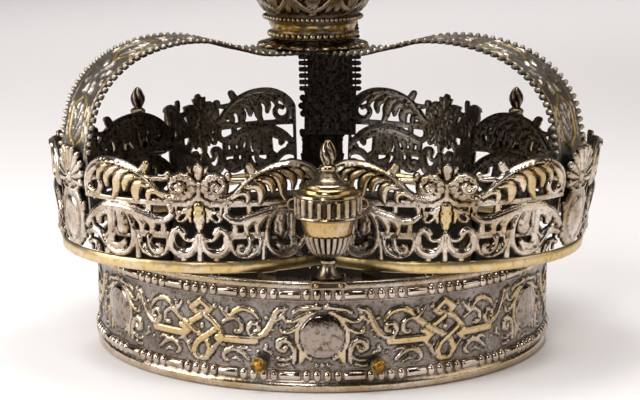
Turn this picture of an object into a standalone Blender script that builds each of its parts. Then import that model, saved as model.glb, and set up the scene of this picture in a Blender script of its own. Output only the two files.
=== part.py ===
"""Torah crown in parcel-gilt silver.

A round base band carries a pierced gallery of trefoil plan on six brackets.
Three straps rise from the gallery's lobes to a leaf rosette and a small crown,
and three covered urns stand on the base rim in the gallery's corners.
Sizes are in millimetres until vertices are made. Front is -Y.
"""

from math import asin, atan2, cos, hypot, pi, radians, sin

import bmesh
import bpy
from mathutils import Vector
from mathutils.geometry import delaunay_2d_cdt

# ---- driving dimensions, in millimetres and degrees ----
mm = 0.001
gap = 0.3                     # air between two pieces that touch
axis_x, axis_y = -1.34, -6.50  # the base ring's axis, so that the whole is centred on the origin

base_radius = 106.0           # over the bead mouldings
base_height = 48.4
base_sides = 36
wall_radius = 103.8           # outside of the band's wall
wall_inside = 102.4
bay = 60.0                    # one roundel and one knot

lobe_offset = 54.4            # centre of a gallery lobe from the crown's axis
lobe_radius = 69.6            # of the gallery at its lower edge
lobe_flare = 0.137            # radius gained for each millimetre of height
gallery_bottom = 50.2
rim_height = 5.2
rim_thickness = 1.6
panel_bottom = gallery_bottom + rim_height + gap
panel_thickness = 1.7
panel_half = 58.0             # half of a panel's length
panel_turn = radians(56.5)    # centre of a panel from its lobe's middle
panel_start = radians(10.9)   # end of a panel beside the cartouche
lobes = (60.0, 180.0, 300.0)  # directions of the lobes' middles, from the front
bent_lobe = 300.0             # its wall is bent upright in the middle, by hand
bend = 0.075                  # flare lost there

strap_width = 33.0            # over its beaded edges, above the gallery
strap_foot_width = 25.0
strap_thickness = 1.5
strap_end = 10.0              # where a strap stops short of the crown's axis

lean = -4.4                   # the top of the old, hand-bent crown sits to the left
back_strap_shift = 4.2        # and the back strap's foot to the right

rosette_radius = 26.2
rosette_bottom = 135.6
rosette_leaves = 18

urns = ((1.25, 106.2), (118.9, 108.1), (240.0, 104.0))  # direction and radius of each urn's axis
urn_bottom = base_height - 1.2  # of the plinth's lip, which hangs over the base rim
urn_height = 62.0
plinth_half = 7.6
plinth_height = 3.6
bracket_turns = (12.7, 14.4, 14.4, 14.4, 14.4, 14.4)  # from a corner to the bracket beside it
bracket_width = 8.0
bolt_height = 12.2

silver = ("silver", (0.55, 0.52, 0.47), 0.34)
dark_silver = ("oxidised silver", (0.23, 0.21, 0.18), 0.45)
gilt = ("gilding", (0.72, 0.52, 0.24), 0.36)
old_brass = ("old brass", (0.35, 0.22, 0.09), 0.5)


# ---- small tools ----
def clear_scene():
    for thing in list(bpy.data.objects):
        bpy.data.objects.remove(thing)


def material(name, kind):
    finish, colour, roughness = kind
    made = bpy.data.materials.new(f"{name} {finish}")
    made.use_nodes = True
    shader = made.node_tree.nodes["Principled BSDF"]
    shader.inputs["Base Color"].default_value = (*colour, 1.0)
    shader.inputs["Roughness"].default_value = roughness
    shader.inputs["Metallic"].default_value = 1.0
    made.diffuse_color = (*colour, 1.0)
    return made


def add_solid(name, points, faces, kind, parent):
    """One closed solid from points in millimetres."""
    mesh = bpy.data.meshes.new(name)
    mesh.from_pydata([Vector(point) * mm for point in points], [], faces)
    body = bmesh.new()
    body.from_mesh(mesh)
    bmesh.ops.recalc_face_normals(body, faces=body.faces)
    body.to_mesh(mesh)
    body.free()
    mesh.shade_smooth()
    mesh.set_sharp_from_angle(angle=radians(35))
    solid = bpy.data.objects.new(name, mesh)
    bpy.context.scene.collection.objects.link(solid)
    solid.data.materials.append(material(name, kind))
    solid.parent = parent
    return solid


def join_shape(solid, shape):
    """Fuse a second shape into a solid, which keeps its name."""
    union = solid.modifiers.new(f"with {shape.name}", "BOOLEAN")
    union.operation = "UNION"
    union.solver = "EXACT"
    union.object = shape
    shape.hide_render = True
    shape.display_type = "WIRE"
    return solid


def polar(direction, radius, height):
    """A point at a direction in degrees from the front, turning towards +X."""
    return (radius * sin(radians(direction)), -radius * cos(radians(direction)), height)


def leaning(points):
    return [(x + lean, y, z) for x, y, z in points]


def turned(profile, sides, place=None):
    """Points and faces of a profile of (radius, height) turned round Z; ends at radius 0 close it.

    place(turn, radius, height) may move a point off the plain circle."""
    points, rings = [], []
    for radius, height in profile:
        count = 1 if radius == 0 else sides
        rings.append([len(points) + k % count for k in range(sides)])
        for k in range(count):
            turn = 360.0 * k / sides
            points.append(place(turn, radius, height) if place else polar(turn, radius, height))
    closed = profile[0][0] == 0 and profile[-1][0] == 0
    pairs = list(zip(rings, rings[1:])) + ([] if closed else [(rings[-1], rings[0])])
    faces = []
    for low, high in pairs:
        for k in range(sides):
            nxt = (k + 1) % sides
            corner = [low[k], low[nxt], high[nxt], high[k]]
            face = list(dict.fromkeys(corner))
            if len(face) > 2:
                faces.append(face)
    return points, faces


def swept(stations, closed=False):
    """Points and faces of rings of equal length joined one to the next."""
    count = len(stations[0])
    points = [point for ring in stations for point in ring]
    faces = []
    spans = len(stations) if closed else len(stations) - 1
    for i in range(spans):
        a, b = i * count, (i + 1) % len(stations) * count
        faces += [(a + k, a + (k + 1) % count, b + (k + 1) % count, b + k) for k in range(count)]
    if not closed:
        last = (len(stations) - 1) * count
        faces += [tuple(range(count))[::-1], tuple(range(last, last + count))]
    return points, faces


# ---- flat drawing: strokes, joined and cut out of sheet ----
def stroke(route, start, end=None):
    """Outline of a line through points, tapering from one width to another."""
    end = start if end is None else end
    left, right = [], []
    for k, (x, y) in enumerate(route):
        before, after = route[max(k - 1, 0)], route[min(k + 1, len(route) - 1)]
        dx, dy = after[0] - before[0], after[1] - before[1]
        reach = hypot(dx, dy)
        half = (start + (end - start) * k / (len(route) - 1)) / 2
        left.append((x - dy / reach * half, y + dx / reach * half))
        right.append((x + dy / reach * half, y - dx / reach * half))
    return left + right[::-1]


def arc(x, y, radius, start, end, steps):
    """Points along an arc, counter-clockwise in degrees."""
    turns = [radians(start + (end - start) * k / steps) for k in range(steps + 1)]
    return [(x + radius * cos(turn), y + radius * sin(turn)) for turn in turns]


def mirrored(shapes):
    return shapes + [[(-x, y) for x, y in reversed(shape)] for shape in shapes]


def area(outline):
    total = 0.0
    for (x0, y0), (x1, y1) in zip(outline, outline[1:] + outline[:1]):
        total += x0 * y1 - x1 * y0
    return total / 2


def joined_sheet(shapes, finest=0.25):
    """Union of flat outlines: its points, triangles and edge loops."""
    drawn = [shape if area(shape) > 0 else shape[::-1] for shape in shapes]
    points, polygons = [], []
    for shape in drawn:
        polygons.append(list(range(len(points), len(points) + len(shape))))
        points += [Vector(spot) for spot in shape]
    found = delaunay_2d_cdt(points, [], polygons, 0, 1e-5, True)
    inside = [face for face, origin in zip(found[2], found[5]) if origin]
    after = {}
    for face in inside:
        for a, b in zip(face, face[1:] + face[:1]):
            after[(a, b)] = True
    rim = {a: b for a, b in after if (b, a) not in after}
    loops = []
    while rim:
        start = here = next(iter(rim))
        loop = []
        while here in rim:
            loop.append(here)
            here = rim.pop(here)
        if here == start and len(loop) > 2:
            loops.append(eased([tuple(found[0][k]) for k in loop], finest))
    loops = [loop for loop in loops if len(loop) > 2 and abs(area(loop)) > 0.4]
    solid = [loop for loop in loops if area(loop) > 0]
    openings = [loop for loop in loops if area(loop) < 0]
    return filled_sheet(solid, openings)


def filled_sheet(outlines, openings):
    """Points and triangles of flat outlines with openings cut out."""
    spots, rings = [], []
    for loop in outlines + openings:
        rings.append(list(range(len(spots), len(spots) + len(loop))))
        spots += [Vector(spot) for spot in (loop if area(loop) > 0 else loop[::-1])]
    found = delaunay_2d_cdt(spots, [], rings, 0, 1e-5, True)
    whole = set(range(len(outlines)))
    faces = [face for face, origin in zip(found[2], found[5]) if origin and set(origin) <= whole]
    return [tuple(spot) for spot in found[0]], faces


def eased(loop, finest):
    """A loop without the points that lie within so much of a straight run."""
    kept = list(loop)
    changed = True
    while changed and len(kept) > 3:
        changed = False
        for k in range(len(kept)):
            (x0, y0), (x1, y1), (x2, y2) = kept[k - 1], kept[k], kept[(k + 1) % len(kept)]
            long = hypot(x2 - x0, y2 - y0)
            off = abs((x2 - x0) * (y1 - y0) - (y2 - y0) * (x1 - x0)) / max(long, 1e-9)
            if (off < finest and long < 16.0) or hypot(x1 - x0, y1 - y0) < 1.3 * finest:
                kept.pop(k)
                changed = True
                break
    return kept


def sheet_solid(sheet, place, back, front):
    """Points and faces of a flat sheet between two depths on a bent surface."""
    spots, flat = sheet
    count = len(spots)
    points = [place(x, y, front) for x, y in spots] + [place(x, y, back) for x, y in spots]
    faces = [tuple(face) for face in flat]
    faces += [tuple(k + count for k in reversed(face)) for face in flat]
    edges = {(a, b) for face in flat for a, b in zip(face, face[1:] + face[:1])}
    faces += [(b, a, a + count, b + count) for a, b in edges if (b, a) not in edges]
    return points, faces


# ---- base band ----
def base_point(middle):
    """Places flat drawing (along, height) on the base wall round a direction."""
    def place(along, height, depth):
        turn = middle + along / base_radius * 180 / pi
        return polar(turn, wall_radius + depth, height)
    return place


def knot_bands():
    """One interlaced strapwork knot with the bar on each side of it."""
    band = 2.6
    return [
        stroke([(-10.8, 21.6), (-6.0, 28.0), (-4.4, 33.9), (0.2, 37.3), (5.2, 33.0), (2.6, 29.0)], band),
        stroke([(-14.0, 31.4), (0.0, 22.4), (5.6, 16.6), (0.2, 11.6), (-4.4, 16.0), (7.3, 28.4)], band),
        stroke([(7.3, 28.4), (11.6, 21.8), (28.5, 21.8)], band, 3.2),
        stroke([(-10.2, 21.8), (-28.5, 21.8)], 3.2),
    ]


def half_bay_scrolls():
    """Scrolls between a roundel, at 0, and the knot, at half a bay."""
    return [
        stroke([(13.5, 36.0), (22.5, 31.5), (26.5, 24.4), (31.8, 25.6), (31.0, 30.0)], 3.2, 2.4),
    ]


def base_ring(parent):
    profile = [
        (104.4, 0.0), (104.6, 4.8), (base_radius + 0.4, 7.2), (wall_radius, 10.4),
        (wall_radius, 39.4), (base_radius + 0.4, 42.4), (104.4, 45.4), (104.4, base_height),
        (wall_inside, base_height), (wall_inside, 0.0),
    ]
    points, faces = turned(profile, base_sides)
    ring = add_solid("base_ring", points, faces, dark_silver, parent)
    for k in range(6):
        middle = k * bay
        disc = [arc(0, 24.8, 10.0, 0, 330, 11)]
        points, faces = sheet_solid(filled_sheet(disc, []), base_point(middle), -0.7, 1.1)
        join_shape(ring, add_solid(f"roundel {k}", points, faces, silver, parent))
        half = bay / 2 * base_radius * pi / 180
        shapes = knot_bands()
        for side in (-1, 1):
            for scroll in half_bay_scrolls():
                shapes.append([(side * (half - x), y) for x, y in scroll])
        for n, group in enumerate(separate_groups(shapes)):
            sheet = joined_sheet(group)
            points, faces = sheet_solid(sheet, base_point(middle + bay / 2), -0.7, 0.8)
            join_shape(ring, add_solid(f"strapwork {k} {n}", points, faces, gilt, parent))
    return ring


def separate_groups(shapes):
    """The knot's outlines as one group, and each scroll as a group of its own."""
    count = len(knot_bands())
    return [shapes[:count]] + [[shape] for shape in shapes[count:]]


# ---- gallery ----
def corner_turn(radius, clear):
    """Turn from a lobe's middle at which its wall comes within so much of the corner plane."""
    return radians(60) + asin((lobe_offset * sin(radians(60)) - clear) / radius)


def gallery_point(lobe, turn, height, depth):
    """A point on a lobe's wall; turn in radians from the lobe's middle, depth outwards."""
    flare = lobe_flare
    if lobe == bent_lobe:
        flare -= bend * max(cos(0.93 * turn), 0) ** 2
    radius = lobe_radius + flare * (height - gallery_bottom) + depth
    x, y, _ = polar(lobe, lobe_offset, 0)
    across, forward, _ = polar(lobe + turn * 180 / pi, radius, 0)
    return (x + across, y + forward, height)


def panel_point(lobe, side):
    """Places a panel's flat drawing (along, up) on one half of a lobe's wall."""
    def place(along, up, depth):
        height = panel_bottom + max(up, 0)
        radius = lobe_radius + lobe_flare * (height - gallery_bottom) + depth
        if along > 0:
            turn = panel_turn + along / panel_half * (corner_turn(radius, gap / 2) - panel_turn)
        else:
            turn = panel_turn + along / panel_half * (panel_turn - panel_start)
        return gallery_point(lobe, side * turn, height, depth)
    return place


def panel_outline():
    """Edge of a panel: its leafy crest, its ends and its foot on the rim."""
    crest = [
        (0, 43.4), (3.4, 40.2), (3.2, 37.4), (9.4, 39.0), (12.9, 35.4), (13.4, 32.2), (19.4, 33.0),
        (20.4, 38.8), (24.6, 39.2), (26.0, 36.0), (33.0, 40.6), (41.5, 42.4), (49.5, 40.6),
        (55.0, 36.4), (58.0, 29.0),
    ]
    foot = [(panel_half * k / 4, 0) for k in range(4, -1, -1)]
    half = crest + foot
    return half + [(-x, y) for x, y in reversed(half) if x > 0]


def half_panel_openings():
    """Openings of half a panel, above and below the bar; along from its middle, up from the rim."""
    above = [
        [(20.4, 26.4), (26.2, 26.4), (26.4, 33.0), (23.2, 31.0)],
        [(29.4, 26.4), (35.0, 26.4), (35.2, 31.4), (31.0, 33.4)],
        [(39.0, 27.0), (48.4, 26.8), (45.6, 32.2), (40.4, 35.6)],
    ]
    below = [
        [(3.0, 23.2), (12.0, 23.2), (10.6, 18.2), (5.4, 17.8)],
        [(14.6, 23.2), (20.4, 23.2), (20.4, 19.9), (14.8, 19.2)],
        [(4.2, 7.4), (8.0, 4.8), (11.0, 7.6), (10.4, 12.0), (8.0, 10.2)],
        [(9.4, 0.8), (17.2, 0.8), (13.6, 6.2)],
        [(16.0, 8.6), (27.6, 8.6), (25.4, 3.2), (18.2, 3.2)],
        [(18.0, 12.4), (28.2, 12.4), (29.6, 19.0), (18.0, 15.6)],
        [(32.6, 10.4), (38.2, 10.4), (38.6, 19.8), (34.4, 19.6)],
        [(33.8, 7.8), (40.6, 7.8), (42.4, 3.8), (36.0, 3.2)],
        [(43.4, 18.8), (49.0, 16.6), (47.2, 8.6), (43.6, 9.4)],
        [(47.8, 21.8), (56.2, 14.4), (56.2, 22.8)],
        [(48.0, 0.8), (56.2, 0.8), (56.2, 7.6), (50.6, 7.6)],
    ]
    return above + below


def gallery_panel(number, lobe, side, parent):
    half = panel_thickness / 2
    sheet = filled_sheet([panel_outline()], mirrored(half_panel_openings()))
    points, faces = sheet_solid(sheet, panel_point(lobe, side), -half, half)
    return add_solid(f"gallery_panel_{number}", points, faces, silver, parent)


def gallery_rim(parent):
    stations = []
    spans = 10
    for lobe in lobes:
        for k in range(-spans, spans):
            ring = []
            for depth, height in ((1, 0), (1, 1), (-1, 1), (-1, 0)):
                high = gallery_bottom + rim_height * height
                out = depth * rim_thickness / 2
                radius = lobe_radius + lobe_flare * (high - gallery_bottom) + out
                turn = corner_turn(radius, 0) * k / spans
                ring.append(gallery_point(lobe, turn, high, out))
            stations.append(ring)
    points, faces = swept(stations, closed=True)
    return add_solid("gallery_rim", points, faces, gilt, parent)


def shell_cartouche(number, lobe, parent):
    """A leafy oval boss over the joint of two panels, with a shell above it."""
    def place(across, height, depth):
        turn = across / (lobe_radius + 4)
        return gallery_point(lobe, turn, height, depth)
    low, high = panel_bottom, panel_bottom + 26.0
    outline = []
    sides = 16
    for k in range(sides):
        turn = 2 * pi * k / sides
        reach = 0.93 + 0.07 * cos(5 * turn + pi)
        outline.append((11.6 * reach * sin(turn), (low + high) / 2 - 13.2 * cos(turn)))
    points = []
    for scale, depth in ((1.0, -0.8), (1.0, 1.0), (0.66, 1.6), (0.36, 3.6)):
        middle = (low + high) / 2
        points += [place(x * scale, middle + (z - middle) * scale, depth) for x, z in outline]
    points += [place(0, (low + high) / 2, 4.0)]
    faces = [tuple(range(sides))[::-1]]
    for ring in range(3):
        a, b = ring * sides, (ring + 1) * sides
        faces += [(a + k, a + (k + 1) % sides, b + (k + 1) % sides, b + k) for k in range(sides)]
    faces += [(3 * sides + k, 3 * sides + (k + 1) % sides, 4 * sides) for k in range(sides)]
    boss = add_solid(f"shell_cartouche_{number}", points, faces, silver, parent)
    shell_foot = high - 1.5
    flutes = 7
    fan = []
    for k in range(2 * flutes + 1):
        turn = radians(-118 + 236 * k / (2 * flutes))
        reach = 11.4 if k % 2 else 9.6
        fan.append((reach * sin(turn), shell_foot + 8.0 + reach * cos(turn)))
    fan += [(-4.0, shell_foot - 3.0), (4.0, shell_foot - 3.0)][::-1]
    count = len(fan)
    points = [place(x, z, -0.8) for x, z in fan]
    points += [place(x, z, 2.6 if k % 2 and k < 2 * flutes else 1.2) for k, (x, z) in enumerate(fan)]
    points += [place(0, shell_foot + 5.0, -0.8), place(0, shell_foot + 5.0, 1.6)]
    faces = []
    for k in range(count):
        nxt = (k + 1) % count
        faces += [(k, nxt, count + nxt, count + k), (nxt, k, 2 * count)]
        faces += [(count + k, count + nxt, 2 * count + 1)]
    return join_shape(boss, add_solid(f"shell {number}", points, faces, silver, parent))


# ---- straps, rosette and small crown ----
def strap_route():
    """Middle line of a strap as (radius, height), from its foot behind the shell to the top."""
    return [
        (122.0, 74.0), (124.0, 92.0), (124.0, 99.0), (120.8, 114.3), (117.0, 122.2),
        (110.4, 129.8), (99.8, 136.8), (86.5, 141.0), (72.4, 142.7), (58.0, 141.6),
        (43.0, 137.4), (32.0, 134.8), (strap_end, 134.2),
    ]


def strap_shift(lobe, radius):
    """How far a strap's middle line is bent aside, along X."""
    part = min(max((124.0 - radius) / 75.0, 0), 1)
    foot = back_strap_shift if lobe == 180.0 else 0.0
    return foot + (lean - foot) * part


def strap(number, lobe, parent):
    thick = strap_thickness / 2
    edge = 3.2
    route = strap_route()
    stations = []
    across, forward, _ = polar(lobe + 90, 1, 0)
    for k, (radius, height) in enumerate(route):
        half = (strap_foot_width if height < 95.0 else strap_width) / 2
        section = [
            (-half, -thick), (half, -thick), (half, thick + 0.6), (half - edge, thick),
            (-half + edge, thick), (-half, thick + 0.6),
        ]
        before, after = route[max(k - 1, 0)], route[min(k + 1, len(route) - 1)]
        lie = atan2(after[1] - before[1], before[0] - after[0])
        ring = []
        for x, out in section:
            spot = polar(lobe, radius + out * sin(lie), height + out * cos(lie))
            aside = strap_shift(lobe, radius)
            ring.append((spot[0] + across * x + aside, spot[1] + forward * x, spot[2]))
        stations.append(ring)
    points, faces = swept(stations)
    return add_solid(f"strap_{number}", points, faces, silver, parent)


def rosette(parent):
    """Disc of radiating leaves that covers the straps' ends."""
    sides = 2 * rosette_leaves

    def place(turn, radius, height):
        tip = round(turn * sides / 360) % 2
        return polar(turn, radius - (0 if tip or radius < 20 else 2.0), height)
    profile = [
        (0, rosette_bottom), (rosette_radius, rosette_bottom + 0.6),
        (rosette_radius, rosette_bottom + 1.9), (17.5, rosette_bottom + 4.0),
        (0, rosette_bottom + 4.0),
    ]
    points, faces = turned(profile, sides, place)
    return add_solid("rosette", leaning(points), faces, silver, parent)


def small_crown(parent):
    """Hollow crown on the rosette, flaring to a crest of leaves."""
    foot = rosette_bottom + 4.0 + gap
    sides = 16

    def place(turn, radius, height):
        tip = round(turn * sides / 360) % 2
        return polar(turn, radius, height - (0 if tip or height < foot + 28 else 3.2))
    profile = [
        (19.6, foot), (19.6, foot + 2.6), (19.0, foot + 3.4), (20.1, foot + 6.9),
        (22.8, foot + 7.9), (22.8, foot + 10.5), (22.1, foot + 11.5), (26.4, foot + 18.0),
        (32.4, foot + 35.0), (31.0, foot + 34.4), (24.3, foot + 18.0), (17.4, foot + 3.0),
        (17.4, foot),
    ]
    points, faces = turned(profile, sides, place)
    return add_solid("small_crown", leaning(points), faces, silver, parent)


def crown_dome(parent):
    """Dome inside the small crown, with a bud on top."""
    foot = rosette_bottom + 4.0 + gap + 22.5
    profile = [
        (0, foot), (25.2, foot + 1.4), (25.4, foot + 3.2), (22.6, foot + 10.0), (14.0, foot + 17.0),
        (5.0, foot + 20.5), (3.6, foot + 23.5), (6.4, foot + 26.0), (6.8, foot + 29.5),
        (3.6, foot + 34.5), (0, foot + 39.0),
    ]
    points, faces = turned(profile, 12)
    return add_solid("crown_dome", leaning(points), faces, silver, parent)


# ---- urns ----
def urn_plinth(corner, out):
    """Points and faces of the square plinth, notched to sit over the base rim."""
    low, seat, high = urn_bottom, base_height + gap, urn_bottom + plinth_height
    inner, outer = out - plinth_half, out + plinth_half
    edge = base_radius - 1.3
    section = [(edge, low), (outer, low), (outer, high), (inner, high), (inner, seat), (edge, seat)]
    across, forward, _ = polar(corner + 90, plinth_half, 0)
    stations = []
    for side in (-1, 1):
        ring = []
        for radius, height in section:
            x, y, _ = polar(corner, radius, 0)
            ring.append((x + across * side, y + forward * side, height))
        stations.append(ring)
    return swept(stations)


def urn(number, corner, out, parent):
    """Covered urn on a square plinth, standing on the base rim."""
    points, faces = urn_plinth(corner, out)
    plinth = add_solid(f"urn_{number}", points, faces, silver, parent)
    x, y, _ = polar(corner, out, 0)

    def place(turn, radius, height):
        spot = polar(turn + corner, radius, height)
        return (spot[0] + x, spot[1] + y, spot[2])
    foot = urn_bottom
    profile = [
        (0, foot + 3.3), (5.4, foot + 3.3), (5.4, foot + 4.4), (2.6, foot + 9.1),
        (3.6, foot + 10.7), (2.9, foot + 12.1), (7.4, foot + 15.6), (10.0, foot + 22.1),
        (11.4, foot + 29.0), (14.2, foot + 29.8), (14.2, foot + 39.6), (9.9, foot + 43.0),
        (9.6, foot + 44.2), (3.2, foot + 48.2), (2.6, foot + 51.6), (3.3, foot + 55.4),
        (0, foot + urn_height),
    ]
    points, faces = turned(profile, 12, place)
    return join_shape(plinth, add_solid(f"urn body {number}", points, faces, silver, parent))


# ---- brackets and bolts ----
def bracket(number, direction, lobe, from_corner, parent):
    """Strip inside the base wall that rises to the gallery rim's inner face."""
    base_x, base_y, _ = polar(direction, wall_inside - 1.2, 0)
    reach = lobe_radius - rim_thickness / 2 - gap - 1.2
    lobe_x, lobe_y, _ = polar(lobe, lobe_offset, 0)
    turn = radians(from_corner)
    # the point of the lobe's inner face that lies in the bracket's direction
    along = lobe_offset * cos(radians(60) - turn)
    out = along + (reach ** 2 - (lobe_offset * sin(radians(60) - turn)) ** 2) ** 0.5
    top_x, top_y, _ = polar(direction, out, 0)
    facing = atan2(top_x - lobe_x, -(top_y - lobe_y)) * 180 / pi
    turned_by = ((facing - direction + 180) % 360) - 180
    stations = []
    half = bracket_width / 2
    for part, height in ((0, 5.0), (0, 40.0), (0.5, 46.0), (1, 50.4), (1, 55.2)):
        x = base_x + (top_x - base_x) * part
        y = base_y + (top_y - base_y) * part
        lie = direction + turned_by * part
        nx, ny, _ = polar(lie, 1, 0)
        tx, ty, _ = polar(lie + 90, 1, 0)
        ring = []
        for a, b in ((-half, -0.6), (half, -0.6), (half, 0.6), (-half, 0.6)):
            ring.append((x + tx * a + nx * b, y + ty * a + ny * b, height))
        stations.append(ring)
    points, faces = swept(stations)
    return add_solid(f"bracket_{number}", points, faces, dark_silver, parent)


def bolt(number, direction, parent):
    """Hexagonal nut with the bolt's round end, on the outside of the base wall."""
    def place(turn, out, depth):
        tx, ty, _ = polar(direction + 90, 1, 0)
        spot = polar(direction, wall_radius + depth, 0)
        return (spot[0] + tx * out * sin(radians(turn)), spot[1] + ty * out * sin(radians(turn)),
                bolt_height + out * cos(radians(turn)))
    profile = [(0, 2.6 + gap), (4.0, 2.6 + gap), (4.0, 4.8), (2.2, 4.8), (2.0, 6.6), (0, 6.6)]
    points, faces = turned(profile, 6, place)
    return add_solid(f"bolt_{number}", points, faces, old_brass, parent)


def main():
    clear_scene()
    crown = bpy.data.objects.new("crown", None)
    crown.location = (axis_x * mm, axis_y * mm, 0)
    bpy.context.scene.collection.objects.link(crown)
    base_ring(crown)
    gallery_rim(crown)
    number = 0
    for k, lobe in enumerate(lobes, 1):
        for side in (-1, 1):
            number += 1
            gallery_panel(number, lobe, side, crown)
            corner = lobe + side * 60
            from_corner = bracket_turns[number - 1]
            direction = corner - side * from_corner
            bracket(number, direction, lobe, from_corner, crown)
            bolt(number, direction, crown)
        shell_cartouche(k, lobe, crown)
        strap(k, lobe, crown)
    for k, (corner, out) in enumerate(urns, 1):
        urn(k, corner, out, crown)
    rosette(crown)
    small_crown(crown)
    crown_dome(crown)


main()
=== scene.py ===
from functools import partial
from math import asin, cos, pi, radians, sin

import bpy
import numpy as np
from mathutils import Euler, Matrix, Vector


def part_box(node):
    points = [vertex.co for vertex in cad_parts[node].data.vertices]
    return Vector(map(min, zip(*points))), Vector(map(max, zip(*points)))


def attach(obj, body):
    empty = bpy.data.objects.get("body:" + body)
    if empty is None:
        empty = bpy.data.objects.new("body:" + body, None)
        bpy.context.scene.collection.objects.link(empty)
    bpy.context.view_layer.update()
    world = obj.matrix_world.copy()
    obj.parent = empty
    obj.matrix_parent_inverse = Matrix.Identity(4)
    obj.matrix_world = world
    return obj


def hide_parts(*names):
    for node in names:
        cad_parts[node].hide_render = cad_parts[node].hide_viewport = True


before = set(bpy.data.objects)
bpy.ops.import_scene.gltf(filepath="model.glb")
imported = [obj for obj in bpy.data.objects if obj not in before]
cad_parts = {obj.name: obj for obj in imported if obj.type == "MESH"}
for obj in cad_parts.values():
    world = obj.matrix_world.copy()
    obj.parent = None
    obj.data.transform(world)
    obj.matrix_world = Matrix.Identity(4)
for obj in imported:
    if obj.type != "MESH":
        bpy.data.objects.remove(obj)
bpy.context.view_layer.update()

mm = 0.001
perMetre = 1000.0    # a pattern's scale is this over its size in millimetres
ringLow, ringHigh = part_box("base_ring")
axis = np.array([(ringLow.x + ringHigh.x) / 2, (ringLow.y + ringHigh.y) / 2, 0.0])    # the base band's
crownLow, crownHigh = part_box("small_crown")
lean = ((crownLow.x + crownHigh.x) / 2 - axis[0]) / mm    # how far the bent crown's top sits to one side
topAxis = axis + np.array([lean * mm, 0, 0])


def deselectAll():
    if bpy.context.object and bpy.context.object.mode != "OBJECT":
        bpy.ops.object.mode_set(mode="OBJECT")
    bpy.ops.object.select_all(action="DESELECT")


def pick(piece):
    deselectAll()
    piece.select_set(True)
    bpy.context.view_layer.objects.active = piece


def freeze(piece):    # puts the object's place into its mesh
    pick(piece)
    bpy.ops.object.transform_apply(location=True, rotation=True, scale=True)


def applyModifiers(piece):
    pick(piece)
    for modifier in list(piece.modifiers):
        bpy.ops.object.modifier_apply(modifier=modifier.name)


def joined(name, pieces):
    deselectAll()
    for piece in pieces:
        piece.select_set(True)
    bpy.context.view_layer.objects.active = pieces[0]
    if len(pieces) > 1:
        bpy.ops.object.join()
    whole = pieces[0]
    whole.name = name
    whole.data.name = name
    freeze(whole)
    return whole


def smooth(piece, angle):
    pick(piece)
    bpy.ops.object.shade_smooth_by_angle(angle=radians(angle))


def turnInsideOut(piece):
    pick(piece)
    bpy.ops.object.mode_set(mode="EDIT")
    bpy.ops.mesh.select_all(action="SELECT")
    bpy.ops.mesh.flip_normals()
    bpy.ops.object.mode_set(mode="OBJECT")


def selectByPlace(piece, kind, wanted):    # in edit mode, the faces or edges that wanted() is true for
    pick(piece)
    bpy.ops.object.mode_set(mode="EDIT")
    bpy.ops.mesh.select_all(action="DESELECT")
    bpy.ops.object.mode_set(mode="OBJECT")
    for element in piece.data.polygons if kind == "FACE" else piece.data.edges:
        element.select = wanted(element)
    bpy.ops.object.mode_set(mode="EDIT")
    bpy.ops.mesh.select_mode(type=kind)


def primitive(add, place, scale=(1, 1, 1), **settings):    # a start to shape, its place and size in its mesh
    deselectAll()
    add(location=place, **settings)
    piece = bpy.context.object
    piece.scale = scale
    freeze(piece)
    return piece


def ball(place, radius, segments, rings, scale=(1, 1, 1)):
    piece = primitive(bpy.ops.mesh.primitive_uv_sphere_add, place, scale, segments=segments, ring_count=rings,
                      radius=radius)
    smooth(piece, 80)
    return piece


def rounded(piece, width, segments, angle):    # bevelled edges
    bevel = piece.modifiers.new("worn edges", "BEVEL")
    bevel.width, bevel.segments, bevel.limit_method = width, segments, "ANGLE"
    applyModifiers(piece)
    smooth(piece, angle)


def pointsOf(piece):
    flat = np.zeros(len(piece.data.vertices) * 3)
    piece.data.vertices.foreach_get("co", flat)
    return flat.reshape(-1, 3)


def setPoints(piece, points):
    piece.data.vertices.foreach_set("co", np.asarray(points, np.float32).ravel())
    piece.data.update()


def layerOf(piece, name):
    values = np.zeros(len(piece.data.vertices))
    piece.data.attributes[name].data.foreach_get("value", values)
    return values


def setLayer(piece, name, values):    # one number a point, read by the materials
    layer = piece.data.attributes.get(name) or piece.data.attributes.new(name, "FLOAT", "POINT")
    full = np.zeros(len(piece.data.vertices), np.float32) + np.asarray(values, np.float32)
    layer.data.foreach_set("value", full)


def paint(piece, gilt, hollow):    # share of gilding, and how dark: tarnish, and painted shade in places
    setLayer(piece, "gilt", gilt)
    setLayer(piece, "hollow", hollow)


def copyOf(piece, turn, centre=axis):    # own mesh, turned round the band's axis or another
    twin = piece.copy()
    twin.data = piece.data.copy()
    bpy.context.scene.collection.objects.link(twin)
    c, s = cos(radians(turn)), sin(radians(turn))
    setPoints(twin, (pointsOf(twin) - centre) @ np.array([[c, s, 0], [-s, c, 0], [0, 0, 1]]) + centre)
    return twin


def meshPiece(name, points, faces, angle):
    mesh = bpy.data.meshes.new(name)
    mesh.from_pydata(np.asarray(points).tolist(), [], faces)
    mesh.validate()
    piece = bpy.data.objects.new(name, mesh)
    bpy.context.scene.collection.objects.link(piece)
    smooth(piece, angle)
    return piece


def dress(piece, material):
    piece.data.materials.clear()
    piece.data.materials.append(material)


def finish(piece, node, material=None):
    if material:
        dress(piece, material)
    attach(piece, "root")
    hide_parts(node)


def around(turn, radius, height):    # points round an upright axis, turn in radians from the front
    return np.stack(np.broadcast_arrays(radius * np.sin(turn), -radius * np.cos(turn), height), -1)


def polar(direction, radius, height):    # direction in degrees from the front, towards +X
    return np.array([radius * sin(radians(direction)), -radius * cos(radians(direction)), height])


def colour(hexText):    # sRGB hex to linear
    parts = [int(hexText[k:k + 2], 16) / 255 for k in (1, 3, 5)]
    return [p / 12.92 if p < 0.04045 else ((p + 0.055) / 1.055) ** 2.4 for p in parts] + [1.0]


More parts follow.
